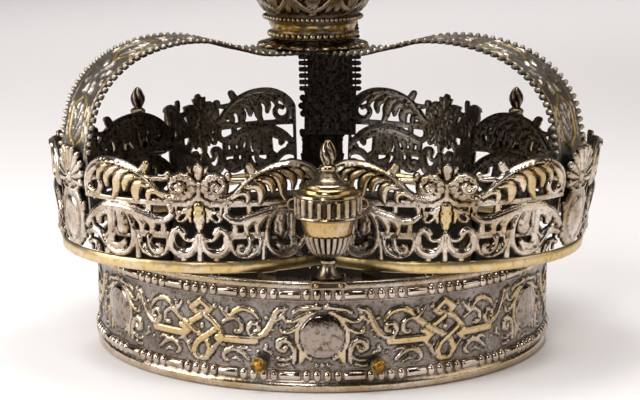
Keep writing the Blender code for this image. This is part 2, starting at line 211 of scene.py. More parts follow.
def addNode(tree, kind, settings=None, links=None):
    node = tree.nodes.new("ShaderNode" + kind)
    for key, value in (settings or {}).items():
        if isinstance(key, str) and hasattr(node, key):
            setattr(node, key, value)
        else:
            node.inputs[key].default_value = value
    for key, source in (links or {}).items():
        tree.links.new(source, node.inputs[key])
    return node


def emptyMaterial(name):    # with the function that adds to it, and object coordinates
    material = bpy.data.materials.new(name)
    material.use_nodes = True
    material.node_tree.nodes.clear()
    add = partial(addNode, material.node_tree)
    return material, add, add("TexCoord").outputs["Object"]


def closeMetal(add, shade, rough, bump):    # metal keeps the default IOR
    shader = add("BsdfPrincipled", {"Metallic": 1.0},
                 {"Base Color": shade.outputs[2], "Roughness": rough.outputs["Result"],
                  "Normal": bump.outputs["Normal"]})
    add("OutputMaterial", {}, {"Surface": shader.outputs[0]})


# metal is the rubbed crests, toned the brownish silver between them, tarnish what lies in the hollows, and
# also the painted shade where that layer is set for it; grain is the size of the casting's pits and specks in
# millimetres
finishes = {
    "gallery cast silver, chased and parcel gilt": dict(
        metal="#eadfd4", toned="#947f69", gilding="#d8bd80", tarnish="#1f170d",
        clean=0.19, dull=0.48, tarnishAndShade=1.1, grain=1.6),
    "base sheet silver, embossed and oxidised": dict(
        metal="#ded2c9", toned="#96877a", gilding="#d6b983", tarnish="#29241f",
        clean=0.15, dull=0.5, tarnishAndShade=0.98, grain=1.3),
    "strap sheet silver, stamped and tarnished": dict(
        metal="#cac3be", toned="#958a83", gilding="#cbae6e", tarnish="#1d160f",
        clean=0.33, dull=0.55, tarnishAndShade=0.9, grain=1.5),
    "rim strip silver, fire gilt and rubbed": dict(
        metal="#e2d8c8", toned="#cbb995", gilding="#d8bc80", tarnish="#2e2213",
        clean=0.34, dull=0.5, tarnishAndShade=1.0, grain=2.4),
    "urn cast silver, turned and gilt": dict(
        metal="#c9bdb1", toned="#85735f", gilding="#c5a566", tarnish="#241b12",
        clean=0.15, dull=0.42, tarnishAndShade=1.1, grain=1.8),
    "crown raised silver, chased": dict(
        metal="#b7aa99", toned="#75603f", gilding="#b8954f", tarnish="#1b130b",
        clean=0.2, dull=0.46, tarnishAndShade=1.5, grain=1.7),
}


def silverMaterial(name):
    look = finishes[name]
    material, add, place = emptyMaterial(name)
    gilt = add("Attribute", {"attribute_name": "gilt"})
    hollow = add("Attribute", {"attribute_name": "hollow"})
    # stains about 14 mm across, pits of the grain's size, and hand work, 5 mm from dent to dent
    broad = add("TexNoise", {"Scale": 70.0, "Detail": 5.0, "Roughness": 0.62}, {"Vector": place})
    fine = add("TexNoise", {"Scale": perMetre / look["grain"], "Detail": 3.0}, {"Vector": place})
    wobble = add("TexNoise", {"Scale": 210.0, "Detail": 1.0}, {"Vector": place})
    # silver is rubbed bright in patches and toned brown between them
    tone = add("MapRange", {"From Min": 0.36, "From Max": 0.64}, {"Value": broad.outputs["Fac"]})
    silver = add("Mix", {"data_type": "RGBA", 6: colour(look["metal"]), 7: colour(look["toned"])},
                 {0: tone.outputs["Result"]})
    # gilding is worn through where the silver is rubbed
    worn = add("MapRange", {"From Min": 0.34, "From Max": 0.52, "To Min": 0.45, "To Max": 1.0},
               {"Value": broad.outputs["Fac"]})
    giltShare = add("Math", {"operation": "MULTIPLY", "use_clamp": True},
                    {0: gilt.outputs["Fac"], 1: worn.outputs["Result"]})
    metal = add("Mix", {"data_type": "RGBA", 7: colour(look["gilding"])},
                {0: giltShare.outputs[0], 6: silver.outputs[2]})
    # tarnish gathers in hollows and in specks, and dulls the metal; the same layer also carries painted shade
    depth = add("Math", {"operation": "MULTIPLY", 1: look["tarnishAndShade"]}, {0: hollow.outputs["Fac"]})
    speck = add("MapRange", {"From Min": 0.52, "From Max": 0.72, "To Min": 0.0, "To Max": 0.35},
                {"Value": fine.outputs["Fac"]})
    tarnishAndShade = add("Math", {"operation": "ADD", "use_clamp": True},
               {0: depth.outputs[0], 1: speck.outputs["Result"]})
    shade = add("Mix", {"data_type": "RGBA", 7: colour(look["tarnish"])},
                {0: tarnishAndShade.outputs[0], 6: metal.outputs[2]})
    rough = add("MapRange", {"To Min": look["clean"], "To Max": look["dull"]}, {"Value": tarnishAndShade.outputs[0]})
    dents = add("Bump", {"Strength": 0.5, "Distance": 0.4 * mm}, {"Height": wobble.outputs["Fac"]})
    bump = add("Bump", {"Strength": 0.25, "Distance": 0.2 * mm},
               {"Height": fine.outputs["Fac"], "Normal": dents.outputs["Normal"]})
    closeMetal(add, shade, rough, bump)
    return material


gallerySilver, baseSilver, strapSilver, rimGilding, urnSilver, crownSilver = [
    silverMaterial(name) for name in finishes]


def plainMetal(name, base, spots, share, rough, spotSize, soft=0.12):    # share of spots, from 0 to 1
    material, add, place = emptyMaterial(name)
    cloud = add("TexNoise", {"Scale": perMetre / spotSize, "Detail": 6.0, "Roughness": 0.65},
                {"Vector": place})
    mask = add("MapRange", {"From Min": 0.68 - (share + soft) / 2, "From Max": 0.68 - (share - soft) / 2},
               {"Value": cloud.outputs["Fac"]})
    shade = add("Mix", {"data_type": "RGBA", 6: colour(base), 7: colour(spots)}, {0: mask.outputs["Result"]})
    gloss = add("MapRange", {"To Min": rough[0], "To Max": rough[1]}, {"Value": mask.outputs["Result"]})
    bump = add("Bump", {"Strength": 0.3, "Distance": 0.3 * mm}, {"Height": cloud.outputs["Fac"]})
    closeMetal(add, shade, gloss, bump)
    return material


# turned silver roundel, burnished like a mirror, with brown stains a few millimetres across
mirrorSilver = plainMetal("roundel silver, burnished", "#9b8f84", "#5f4132", 0.2, (0.05, 0.24), 2.6, 0.16)
# brass nut: brown skin, yellow where a spanner rubbed it
nutBrass = plainMetal("nut old brass, browned", "#b8975a", "#5c4a2c", 0.4, (0.26, 0.45), 3.0)
# brass bolt end, rubbed bright and amber with old lacquer
boltBrass = plainMetal("bolt brass, lacquered", "#b08436", "#7d5a22", 0.3, (0.36, 0.46), 2.5)
# strip left as rolled and brown with tarnish
stripSilver = plainMetal("bracket strip silver, tarnished", "#7a6a55", "#3a2f20", 0.5, (0.36, 0.55), 9.0)
print("materials made")


outside = -9.0    # depth far outside every stroke


def smoothPath(path, step):    # points of a curve through the given ones, and each one's share of it
    given = np.array(path, float)
    if len(given) == 2:
        count = max(2, int(np.hypot(*(given[1] - given[0])) / 2) + 1)
        share = np.linspace(0, 1, count)
        return given[0] + (given[1] - given[0]) * share[:, None], share
    ends = np.vstack([2 * given[0] - given[1], given, 2 * given[-1] - given[-2]])
    spots, shares = [], []
    for k in range(len(given) - 1):
        a, b, c, d = ends[k:k + 4]
        count = max(2, int(np.hypot(*(c - b)) / step))
        t = np.arange(count)[:, None] / count
        spots.append(0.5 * (2 * b + (c - a) * t + (2 * a - 5 * b + 4 * c - d) * t ** 2
                            + (3 * b - a - 3 * c + d) * t ** 3))
        shares.append(k + t[:, 0])
    spots.append(given[-1:])
    shares.append([len(given) - 1.0])
    return np.vstack(spots), np.concatenate(shares) / (len(given) - 1)


def strokeField(u, v, one):    # depth inside the stroke, then across, along and half width there
    if one["straight"]:
        path = np.array(one["path"], float)
        shares = np.linspace(0, 1, len(path))
    else:
        path, shares = smoothPath(one["path"], 0.9)
    half = np.interp(shares, np.linspace(0, 1, len(one["wide"])), one["wide"]) / 2
    step = path[1:] - path[:-1]
    length = np.hypot(step[:, 0], step[:, 1])
    run = np.concatenate([[0], np.cumsum(length)])
    best = np.full(u.shape, outside)
    across, along, halfHere = np.ones(u.shape), np.zeros(u.shape), np.ones(u.shape)
    for k in range(len(step)):
        du, dv = u - path[k, 0], v - path[k, 1]
        t = np.clip((du * step[k, 0] + dv * step[k, 1]) / max(length[k], 1e-6) ** 2, 0, 1)
        off = np.hypot(du - t * step[k, 0], dv - t * step[k, 1])
        wide = half[k] + t * (half[k + 1] - half[k])
        if one["kind"] == "leaf":    # lobed edge
            wide = wide * (0.96 + 0.09 * np.cos(2 * pi * (run[k] + t * length[k]) / 2.8))
        inside = wide - off
        nearer = inside > best
        best = np.where(nearer, inside, best)
        across = np.where(nearer, off / np.maximum(wide, 1e-3), across)
        along = np.where(nearer, run[k] + t * length[k], along)
        halfHere = np.where(nearer, wide, halfHere)
    return best, np.clip(across, 0, 1), along, halfHere


def strokeHeight(kind, across, along, half):
    dome = np.sqrt(1 - across ** 2 + 1e-9)
    if kind == "scroll":    # round, with a fine groove along each side
        return dome ** 0.8 * (1 - 0.22 * np.exp(-((across - 0.58) / 0.14) ** 2))
    if kind == "leaf":    # midrib and oblique veins
        vein = 0.16 * np.exp(-(across / 0.18) ** 2)
        ribs = 0.13 * np.cos(2 * pi * (along / 2.6 + 0.45 * across * half)) * np.clip(across * 1.6, 0, 1)
        return dome ** 0.9 * (0.9 + ribs - vein)
    if kind == "reed":    # three ridges along it
        return dome ** 0.8 * (0.92 + 0.08 * np.cos(3 * pi * across))
    if kind == "band":    # flat, with rounded edges
        return np.clip((1 - across) * half / 0.4, 0, 1) ** 0.6 * (0.88 + 0.12 * across)
    return dome


def drawRelief(u, v, strokes):    # depth inside the drawing, height in millimetres and gilt share
    inside = np.full(u.shape, outside)
    high, gilt = np.zeros(u.shape), np.zeros(u.shape)
    for one in strokes:
        path = np.array(one["path"], float)
        reach = max(one["wide"]) / 2 + 1.4
        near = ((u > path[:, 0].min() - reach) & (u < path[:, 0].max() + reach)
                & (v > path[:, 1].min() - reach) & (v < path[:, 1].max() + reach))
        if not near.any():
            continue
        depth, across, along, half = strokeField(u[near], v[near], one)
        if one["kind"] == "hole":
            inside[near] = np.minimum(inside[near], -depth)
            continue
        rise = np.where(depth > 0, one["high"] * strokeHeight(one["kind"], across, along, half), -1)
        before = high[near]
        if one["over"]:    # laid over what is there, with a chased line round it
            clear = np.clip(-depth / 0.5, 0, 1)
            before = np.where(depth > 0, np.minimum(before, rise), before * (0.35 + 0.65 * clear))
        onTop = (rise > before) | (one["over"] & (depth > 0))
        share = one["gilt"] + 0 * across
        if one["kind"] in ("scroll", "leaf", "reed") and one["gilt"] <= 0.75:    # gilt at its edges
            share *= np.where(across > 0.5, 1.0, 0.3)
        gilt[near] = np.where(onTop, share, gilt[near])
        high[near] = np.maximum(before, rise)
        inside[near] = np.maximum(inside[near], depth)
    return inside, high, gilt


def stroke(kind, high, gilt, wide, *path, over=False, straight=False):    # one width, or a list along it
    widths = wide if isinstance(wide, list) else [wide] * 2
    return dict(kind=kind, high=high, gilt=gilt, wide=widths, path=path, over=over, straight=straight)


scroll, leaf, reed, plain, band, hole = [
    partial(stroke, kind) for kind in ("scroll", "leaf", "reed", "plain", "band", "hole")]
bar = partial(band, straight=True)


def dot(high, gilt, wide, x, y):
    return plain(high, gilt, wide, (x, y), (x + 0.1, y))


def arcPath(x, y, radius, start, end):
    turns = [radians(start + (end - start) * k / 9) for k in range(10)]
    return [(x + radius * cos(turn), y + radius * sin(turn)) for turn in turns]


def mirrored(strokes, middle=0.0):
    return [dict(one, path=[(2 * middle - x, y) for x, y in one["path"]]) for one in strokes]


def scaled(strokes, width, height):
    return [dict(one, wide=[w * width for w in one["wide"]], high=one["high"] * height) for one in strokes]


def sheetGrid(strokes, low, high, cell, base):    # mesh of a pierced sheet, on a grid of cells
    us = np.arange(low[0], high[0] + cell / 2, cell)
    vs = np.arange(low[1], high[1] + cell / 2, cell)
    u, v = np.meshgrid(us, vs, indexing="ij")
    inside, _, _ = drawRelief(u, v, strokes)
    mean = (inside[:-1, :-1] + inside[1:, :-1] + inside[:-1, 1:] + inside[1:, 1:]) / 4
    kept = mean > 0
    for _ in range(3):    # cells that meet only at a corner are joined
        a, b, c, d = kept[:-1, :-1], kept[1:, :-1], kept[:-1, 1:], kept[1:, 1:]
        one, two = a & d & ~b & ~c, b & c & ~a & ~d
        kept[1:, :-1] |= one
        kept[:-1, :-1] |= two
    used = np.zeros(u.shape, int)
    for du in (0, 1):
        for dv in (0, 1):
            used[du:u.shape[0] - 1 + du, dv:u.shape[1] - 1 + dv] += kept
    rim = (used > 0) & (used < 4)
    slopeU, slopeV = np.gradient(inside, cell)
    slope = np.maximum(slopeU ** 2 + slopeV ** 2, 0.3)
    ease = np.clip(-inside / slope, -0.55 * cell, 0.55 * cell) * rim    # border points slide to the outline
    u, v = u + ease * slopeU, v + ease * slopeV
    _, rise, gilt = drawRelief(u, v, strokes)
    rise = np.where(rim, 0, rise)
    return {"u": u, "v": v, "kept": kept, "used": used > 0, "rise": rise + base, "gilt": gilt}


def softened(field, times):
    for _ in range(times):
        padded = np.pad(field, 1, mode="edge")
        field = (padded[:-2, 1:-1] + padded[2:, 1:-1] + padded[1:-1, :-2] + padded[1:-1, 2:] + 4 * field) / 8
    return field


def hollowOf(rise, width=6):    # 1 in narrow hollows and low ground, 0 on crests
    around = softened(rise, width)
    return np.clip(1.2 * (around - rise) + 0.4 * (1.35 - rise), 0, 1)


def sheetPiece(name, grid, place, back, backRelief, backShadeAndTarnish):
    # a closed sheet from a grid; place(u, v, depth) bends it on its surface, in millimetres
    used, kept = grid["used"], grid["kept"]
    count = int(used.sum())
    index = np.full(used.shape, -1)
    index[used] = np.arange(count)
    u, v, rise, gilt = (grid[key][used] for key in ("u", "v", "rise", "gilt"))
    front, behind = place(u, v, rise), place(u, v, back + backRelief * rise)
    corners = (index[:-1, :-1], index[1:, :-1], index[1:, 1:], index[:-1, 1:])
    faces = np.stack([corner[kept] for corner in corners], 1)
    edges = {(quad[k], quad[(k + 1) % 4]): True for quad in faces.tolist() for k in range(4)}
    walls = [(y, x, x + count, y + count) for x, y in edges if (y, x) not in edges]
    faces = faces.tolist() + (faces[:, ::-1] + count).tolist() + walls
    piece = meshPiece(name, np.vstack([front, behind]), faces, 55)
    hollow = hollowOf(np.where(used, grid["rise"], 0))[used]
    # the back is tarnish with painted shade, dark all over for the shadow inside the crown
    paint(piece, np.concatenate([gilt, 0.4 * gilt]),
          np.concatenate([hollow, backShadeAndTarnish * (0.96 + 0.12 * hollow)]))
    return piece


gallery = {
    "lobes": (60.0, 180.0, 300.0),    # directions of the lobes' middles
    "offset": 54.4,    # centre of a lobe from the crown's axis
    "radius": 69.6, "flare": 0.137,    # of the wall at its foot, and gained per millimetre up
    "foot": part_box("gallery_rim")[0].z / mm,
    "panelFoot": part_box("gallery_panel_1")[0].z / mm,
    "panelHalf": 58.0, "panelTurn": radians(56.5), "panelStart": radians(10.9),
    "panelTop": 43.6,
    "cell": 0.485,    # of the relief mesh
    # the backs are tarnish with painted shade for the crown's dark inside
    "gap": 0.15, "backDepth": -0.85, "backRelief": 0.35, "backTarnishAndShade": 0.77,
    "urnDarkening": 0.45, "urnReach": 26.0,    # darker near the urns, within so many millimetres
    "fullness": 1.04, "relief": 1.9,    # widths and heights of the cast work over the drawing's
    "sunk": -0.25,    # of the relief's ground
    "bentLobe": 300.0, "bend": 0.075,    # one lobe's wall is bent upright in the middle
}
lobeSides = [(lobe, side) for lobe in gallery["lobes"] for side in (-1, 1)]    # a panel and a bolt for each


def wallRadius(height, depth):
    return gallery["radius"] + gallery["flare"] * (height - gallery["foot"]) + depth


def galleryPoints(lobe, turn, height, depth):    # turn from the lobe's middle, in radians
    radius = wallRadius(height, depth)
    if lobe == gallery["bentLobe"]:
        bent = np.maximum(np.cos(0.93 * turn), 0) ** 2
        radius = radius - gallery["bend"] * bent * (height - gallery["foot"])
    return (around(radians(lobe) + turn, radius, height) + polar(lobe, gallery["offset"], 0)) * mm + axis


def panelPlace(lobe, side):
    def place(u, v, depth):
        height = gallery["panelFoot"] + np.maximum(v, 0)
        radius = wallRadius(height, depth)
        end = pi / 3 + np.arcsin((gallery["offset"] * sin(pi / 3) - gallery["gap"]) / radius)
        middle, half = gallery["panelTurn"], gallery["panelHalf"]
        reach = np.where(u > 0, end - middle, middle - gallery["panelStart"])
        turn = middle + u / half * reach
        return galleryPoints(lobe, side * turn, height, depth)
    return place


def panelDrawing():    # half of a panel: along from its middle, up from the rim
    crest = [
        scroll(1, 0.2, [4.4, 2.6, 2.4, 3.2], (0, 25), (0, 29), (0, 33), (0, 37)),
        plain(0.8, 0.2, [2.4, 2.6, 1.8], (0.4, 28.6), (2, 27.2), (4.2, 26.2)),
        leaf(1.1, 0.2, [2.6, 3.2, 1.4], (0.4, 37.4), (2.8, 39), (4.1, 41)),
        leaf(1, 0.2, [2, 2.4, 1.2], (0.6, 36.4), (3, 37.2), (4.5, 38.6)),
        leaf(1.4, 0.2, [3.6, 4.6, 1.4], (0, 37), (0, 40.5), (0, 43), over=True),
    ]
    volute = [
        scroll(1, 0.2, [2.2, 2.6, 2.8], (19.6, 26.2), (15.6, 26.4), (11.6, 27)),
        dot(1.75, 0.15, 11.6, 7.4, 32.6),
        leaf(1.95, 0.2, [3.4, 3.8, 4.2, 4.2, 4, 3.6, 3], (9.6, 27.8), (5, 28.8), (2.8, 31.8), (3.4, 35),
             (6.4, 36.9), (9.4, 36.4), (11.2, 34.2), over=True),
        scroll(2.3, 0.15, [3, 3.4, 3.4, 3, 2.6], (11.4, 33), (9.8, 30.8), (7.2, 30.8), (6.2, 32.8),
               (7.6, 34)),
        dot(1.2, 0.2, 3.2, 13, 37.4),
        scroll(0.9, 0.2, [2, 2.4, 2.6], (13, 36), (16.5, 35.2), (22, 35.4)),
    ]
    hanging = [    # its lobes leave the arm one after another and hang
        scroll(0.9, 0.3, [1.8, 1.9, 2, 2, 2, 2, 2.1, 2.2, 2.6, 2.6, 2.4], (23, 36.2), (27, 38.8),
               (31.6, 40.7), (36.5, 41.8), (42, 42.1), (47, 41.4), (51.8, 39.1), (55.2, 35.9), (56.9, 32),
               (57.2, 28.4), (56.6, 25.4)),
        leaf(1.1, 0.45, [2.6, 3.6, 4.6, 3.2], (26, 36.6), (24.6, 38.2), (23.4, 39.8), (22.6, 41.4)),
        scroll(1.2, 0.4, [2.8, 3.2, 3.4, 3.4, 3.2, 3, 2.8, 2.6, 2.4, 2.2], (44, 39.2), (49, 38), (53.2, 34.8),
               (54.8, 31), (53.6, 27.8), (50.4, 26.6), (47.6, 28.2), (47, 31), (49, 33.2), (51, 32.2)),
        reed(1.45, 0.45, [2.4, 3.2, 3.8, 4.6, 5, 5, 4.6, 3.8, 3], (8.6, 28.4), (12.6, 27.8), (16.6, 29.4),
             (20.8, 32.8), (25.6, 36.2), (31, 38.4), (36, 39.6), (41, 40), (46, 39.4)),
        plain(1.2, 0.4, [2.8, 3.5, 3.5, 1.8], (38, 38.4), (43.2, 38.6), (46.8, 36.6), (48, 33.4), over=True),
        plain(1.3, 0.5, [3, 3.8, 4, 3.5, 1.9], (31, 37.2), (37.2, 38), (41.6, 36.4), (43.2, 33.6),
              (42.6, 30.4), over=True),
        plain(1.4, 0.6, [3, 4, 5, 5, 3.8, 2], (26, 34.8), (31.8, 36.8), (35.8, 35.6), (37.4, 32.6),
              (37.8, 29), (39.4, 25.8), over=True),
        plain(1.4, 0.6, [2.8, 3.8, 4.2, 3.8, 1.8], (22, 32.2), (27.8, 35), (31.6, 34.6), (33, 32), (33, 29.4),
              over=True),
        plain(1.4, 0.6, [2.5, 3.5, 4.8, 5, 3.8, 2], (18.4, 29.8), (23.2, 32.6), (26.6, 32.4), (28, 29.8),
              (27.8, 27.4), (27.2, 25.4), over=True),
        plain(1.3, 0.5, [2.2, 3, 3.5, 2.8, 1.5], (15, 27.8), (18.6, 29.8), (21.2, 29.6), (22, 27.6),
              (21.4, 25.6), over=True),
        scroll(1.6, 0.3, [2, 2.2, 2.2, 2.4, 2.4, 2.4, 2.2, 2, 2], (9, 27.4), (13, 28), (16.4, 30.2),
               (20.4, 33.8), (25.2, 37.4), (30.6, 39.7), (35.8, 40.9), (41, 41.2), (46, 40.2)),
    ]
    bars = [
        bar(1.4, 0.15, 2.8, (-2, 24.85), (60, 24.85)),
        bar(1.3, 0.15, 3.8, (13.4, 11.2), (30.2, 11.2)),
        bar(0.5, 0.15, 2.2, (29.6, 9.4), (41, 9.4)),
        bar(0.35, 0.1, 1.7, (57.1, 0), (57.1, 26)),
    ]
    pendant = [
        leaf(1.1, 0.8, [2.4, 3.4, 1.8], (1.6, 23.6), (3.4, 20.8), (3.7, 17.2)),
        leaf(1.2, 0.5, [2.4, 3.2, 2], (3, 23.4), (5.6, 22), (8.4, 21.4)),
        leaf(1.3, 0.8, [4.4, 5.6, 4.8, 2.4], (0, 23.8), (0, 20.6), (0, 17.4), (0, 14.2), over=True),
        scroll(0.9, 0.6, [1.6, 1.8, 1.8, 1.8, 2, 2.2], (3.4, 22.8), (4.8, 20.2), (6.2, 18.2), (8.2, 17.3),
               (9.5, 18.8), (8.4, 20.2)),
        plain(0.7, 0.2, [1.6, 1.4], (9.8, 24.2), (9.6, 20.4)),
        scroll(1, 0.2, [3, 2.6, 2.8, 3.4, 3.8], (12.6, 24), (12.1, 21.6), (12.9, 19.4), (15, 17.8),
               (18, 17.4)),
        plain(0.8, 0.2, [3.2, 2.8], (22.4, 24), (22.4, 20)),
    ]
    branch = [
        leaf(0.8, 0.15, [4.4, 6.2, 6.8, 6.4, 5.6, 4], (17, 17.4), (23, 18), (30, 20), (37, 20.6), (44, 20),
             (50, 17.4)),
        leaf(1, 0.2, [2.8, 3.2, 3], (16, 17), (15.6, 14.6), (16.2, 12)),
        plain(1.2, 0.3, [2.4, 3.4, 4, 3.4, 2.2], (31, 20.4), (28.4, 18.6), (26.4, 16.6), (25.6, 14.4),
              (26, 12)),
        plain(1.2, 0.25, [2.2, 3, 3.6, 3.2, 2], (26, 19.4), (23.4, 17.8), (21.4, 16.2), (20.8, 14.2),
              (21.4, 12)),
        reed(1.45, 0.15, [2.4, 3.2, 4.2, 5, 5, 4.6, 4.4, 4, 3.8, 3.4, 3], (11.4, 20.2), (14.2, 18.2),
             (18.8, 17.8), (24.4, 19.4), (30.5, 21.1), (36, 22), (41.5, 22), (46.5, 21), (51, 18.6),
             (54.6, 15.2), (57.6, 11.6)),
    ]
    lyre = [
        plain(0.8, 0.2, [2.2, 3], (7.2, 2.6), (7.2, 0.2)),
        plain(0.8, 0.3, [1.5, 1.7, 1.8, 1.8, 2], (1.5, 11.8), (2.6, 9.8), (4.8, 9), (6.8, 10), (8.2, 12)),
        scroll(1.35, 0.2, [1.8, 3, 4, 4.8, 4.8, 4.6, 4, 3.4, 3.2, 3.8, 4], (0.9, 12.6), (1.6, 8.2),
               (3.2, 5.2), (5.8, 3.6), (8.8, 3.7), (11.4, 5.6), (12.4, 8.8), (11.8, 12), (10, 13.9),
               (8.2, 13.6), (7.4, 12.4)),
        scroll(1, 0.2, [2, 2.4, 3], (0, 13.4), (0, 6), (0, 0.2)),
    ]
    ring = [
        plain(0.8, 0.15, [5, 6, 5], (16.6, 4.8), (20.5, 3.8), (24.4, 4.8)),
        scroll(1.1, 0.25, 2.9, *arcPath(20.5, 9, 6.9, 180, 360)),
        leaf(1.1, 0.2, [2, 3.2, 3.2], (21.2, 5.8), (24, 5.2), (25.4, 3.4)),
        scroll(1.3, 0.2, [2.8, 3.2, 3.4, 3, 2.6, 2.4], (22.6, 9.8), (21.8, 6), (19.8, 3.8), (17.4, 4.4),
               (17.2, 6.6), (18.8, 7), over=True),
        plain(0.9, 0.2, [1.8, 2.4, 3], (29, 9), (28.6, 4), (28.4, 0.2)),
    ]
    bigScroll = [
        plain(0.6, 0.1, [8.4, 9.6, 8.8], (38.6, 19.4), (38.8, 15.4), (39, 12.8)),
        plain(0.95, 0.1, [4.4, 4, 4.2], (42.8, 21.6), (42.6, 16), (42.8, 10)),
        scroll(1, 0.15, [2.2, 2.2, 2.2, 2], (40, 20.6), (40.2, 16), (39.4, 12.4), (36.2, 10.4)),
        leaf(1.35, 0.15, [2.6, 4.8, 6.2, 6.4, 4.8], (38.4, 21), (36.6, 18.4), (35.8, 15.6), (35.8, 13.4),
             (36.4, 11.8), over=True),
        leaf(1.2, 0.2, [3, 3.8, 4, 3], (43.6, 18.8), (47.4, 18.4), (50, 16.2), (49.4, 13.8)),
        leaf(1.1, 0.2, [3.4, 4.2, 4.4, 3.4], (42, 9.6), (43, 6.8), (44, 4.4), (45.4, 1.4)),
        leaf(1.2, 0.2, [2, 3.4, 4.2, 3.8, 1.8], (42.6, 5.8), (40.4, 4.4), (38, 4.4), (36, 5.8), (34.6, 7.4)),
        scroll(1.3, 0.2, [2.6, 2.6, 2.8, 2.8, 2.8, 3, 3.2, 3.4, 3.2], (35, 21.6), (32.2, 19), (30.5, 14.8),
               (30.1, 10.4), (31, 6), (33.7, 2.9), (37.4, 1.5), (41, 1.8), (44, 3.4)),
    ]
    arches = [
        plain(0.8, 0.2, [2.2, 2], (43.2, 10.2), (47.6, 7.2)),
        scroll(0.9, 0.2, [3, 2.8, 2.6, 2.4], (50.6, 0.2), (52, 3.2), (55, 4.5), (58, 3.6)),
        scroll(1.1, 0.2, [2.8, 3.4, 3.8, 3.8, 3.4], (45.6, 4.4), (48.2, 7.4), (51.2, 9.4), (54.8, 9.6),
               (58, 8)),
        leaf(0.9, 0.2, [2.2, 2.2, 1.6], (52.2, 10.2), (53.6, 12.4), (55.4, 13.6)),
    ]
    above = crest + volute + hanging
    below = pendant + ring + bigScroll + branch + lyre + arches
    return (scaled(above, gallery["fullness"], gallery["relief"]) + bars
            + scaled(below, gallery["fullness"], gallery["relief"]))


def mirroredGrid(grid):    # the drawing's other half, joined at its middle line
    whole = {}
    for key, field in grid.items():
        other = field[::-1] if key == "kept" else field[:0:-1]
        if key == "u":
            other = -other
        whole[key] = np.concatenate([other, field])
    return whole


def makePanels():
    drawing = panelDrawing() + mirrored(panelDrawing())
    spare = 3    # columns past the middle line, so that it isn't taken for a border
    cell = gallery["cell"]
    half = sheetGrid(drawing, (-spare * cell, -0.2), (gallery["panelHalf"], gallery["panelTop"]), cell,
                     gallery["sunk"])
    half = {key: field[spare:] for key, field in half.items()}
    half["u"][0] = 0
    half["u"] = np.minimum(half["u"], gallery["panelHalf"])
    grid = mirroredGrid(half)
    urnSpots = [np.mean(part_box(f"urn_{k}"), 0)[:2] for k in (1, 2, 3)]
    for number, (lobe, side) in enumerate(lobeSides, 1):
        panel = sheetPiece(f"galleryPanel{number}", grid, panelPlace(lobe, side), gallery["backDepth"],
                           gallery["backRelief"], gallery["backTarnishAndShade"])
        if side < 0:
            turnInsideOut(panel)
        # the panels are made darker beside the urns
        toUrn = [np.hypot(*(pointsOf(panel)[:, :2] - spot).T) / mm for spot in urnSpots]
        hollow = layerOf(panel, "hollow")
        darkened = hollow + gallery["urnDarkening"] * np.exp(-(np.min(toUrn, 0) / gallery["urnReach"]) ** 2)
        setLayer(panel, "hollow", np.maximum(hollow, np.minimum(darkened, 0.85)))
        finish(panel, f"gallery_panel_{number}", gallerySilver)
    print("gallery panels made")


makePanels()

rim = {    # a strip bent round the three lobes
    "high": 5.2, "thick": 1.5, "round": 0.5, "spans": 48, "brown": 0.75,    # painted shade where two lobes meet, for the urns' and panels' shadow
}


def makeRim():
    low, top, half, ease = gallery["foot"], gallery["foot"] + rim["high"], rim["thick"] / 2, rim["round"]
    section = [(-half, low + ease), (-half + ease, low), (half - ease, low), (half, low + ease),
               (half, top - ease), (half - ease, top), (-half + ease, top), (-half, top - ease)]
    rings, cuspShade = [], []
    for lobe in gallery["lobes"]:
        for k in range(-rim["spans"], rim["spans"]):
            ring = []
            # painted shade, darker towards each cusp
            cuspShade.append(rim["brown"] * np.clip((abs(k) / rim["spans"] - 0.84) / 0.14, 0, 1))
            for out, height in section:
                radius = wallRadius(height, out)
                end = pi / 3 + asin(gallery["offset"] * sin(pi / 3) / radius)
                ring.append(galleryPoints(lobe, end * k / rim["spans"], height, out))
            rings.append(ring)
    count = len(section)
    faces = []
    for i in range(len(rings)):
        a, b = i * count, (i + 1) % len(rings) * count
        faces += [(a + k, a + (k + 1) % count, b + (k + 1) % count, b + k) for k in range(count)]
    strip = meshPiece("galleryRim", np.array(rings).reshape(-1, 3), faces, 50)
    paint(strip, 0.95, np.repeat(cuspShade, count))
    finish(strip, "gallery_rim", rimGilding)
    print("gallery rim made")


makeRim()

base = {
    "height": ringHigh.z / mm, "wall": 103.9, "inside": 102.4,
    "columns": 1104, "rows": 50, "reliefLow": 10.4, "reliefHigh": 39.6,
    "bay": 110.0,    # a roundel and a knot, along the band
    "roundel": 9.7, "roundelHeight": 24.8, "roundelRise": (0.9, 1.0),    # at its edge, and more in the middle
    "beadPeriods": 24, "beads": 4, "beadPitch": 4.45, "beadWide": 3.7, "beadTall": 5.3, "beadDeep": 4.0,
    "beadHeights": (7.4, 42.6), "beadRadius": 104.2, "reelLong": 9.2, "reelRadius": 1.7,
    "reelTall": 1.2,    # its height over its depth
    "slim": 0.8,    # widths of the foliage over the drawing's
    "relief": 1.05,    # heights over the drawing's
    "gilding": 0.85, "blush": 0.3,    # what is left of it on the straps, and at least on the foliage
}


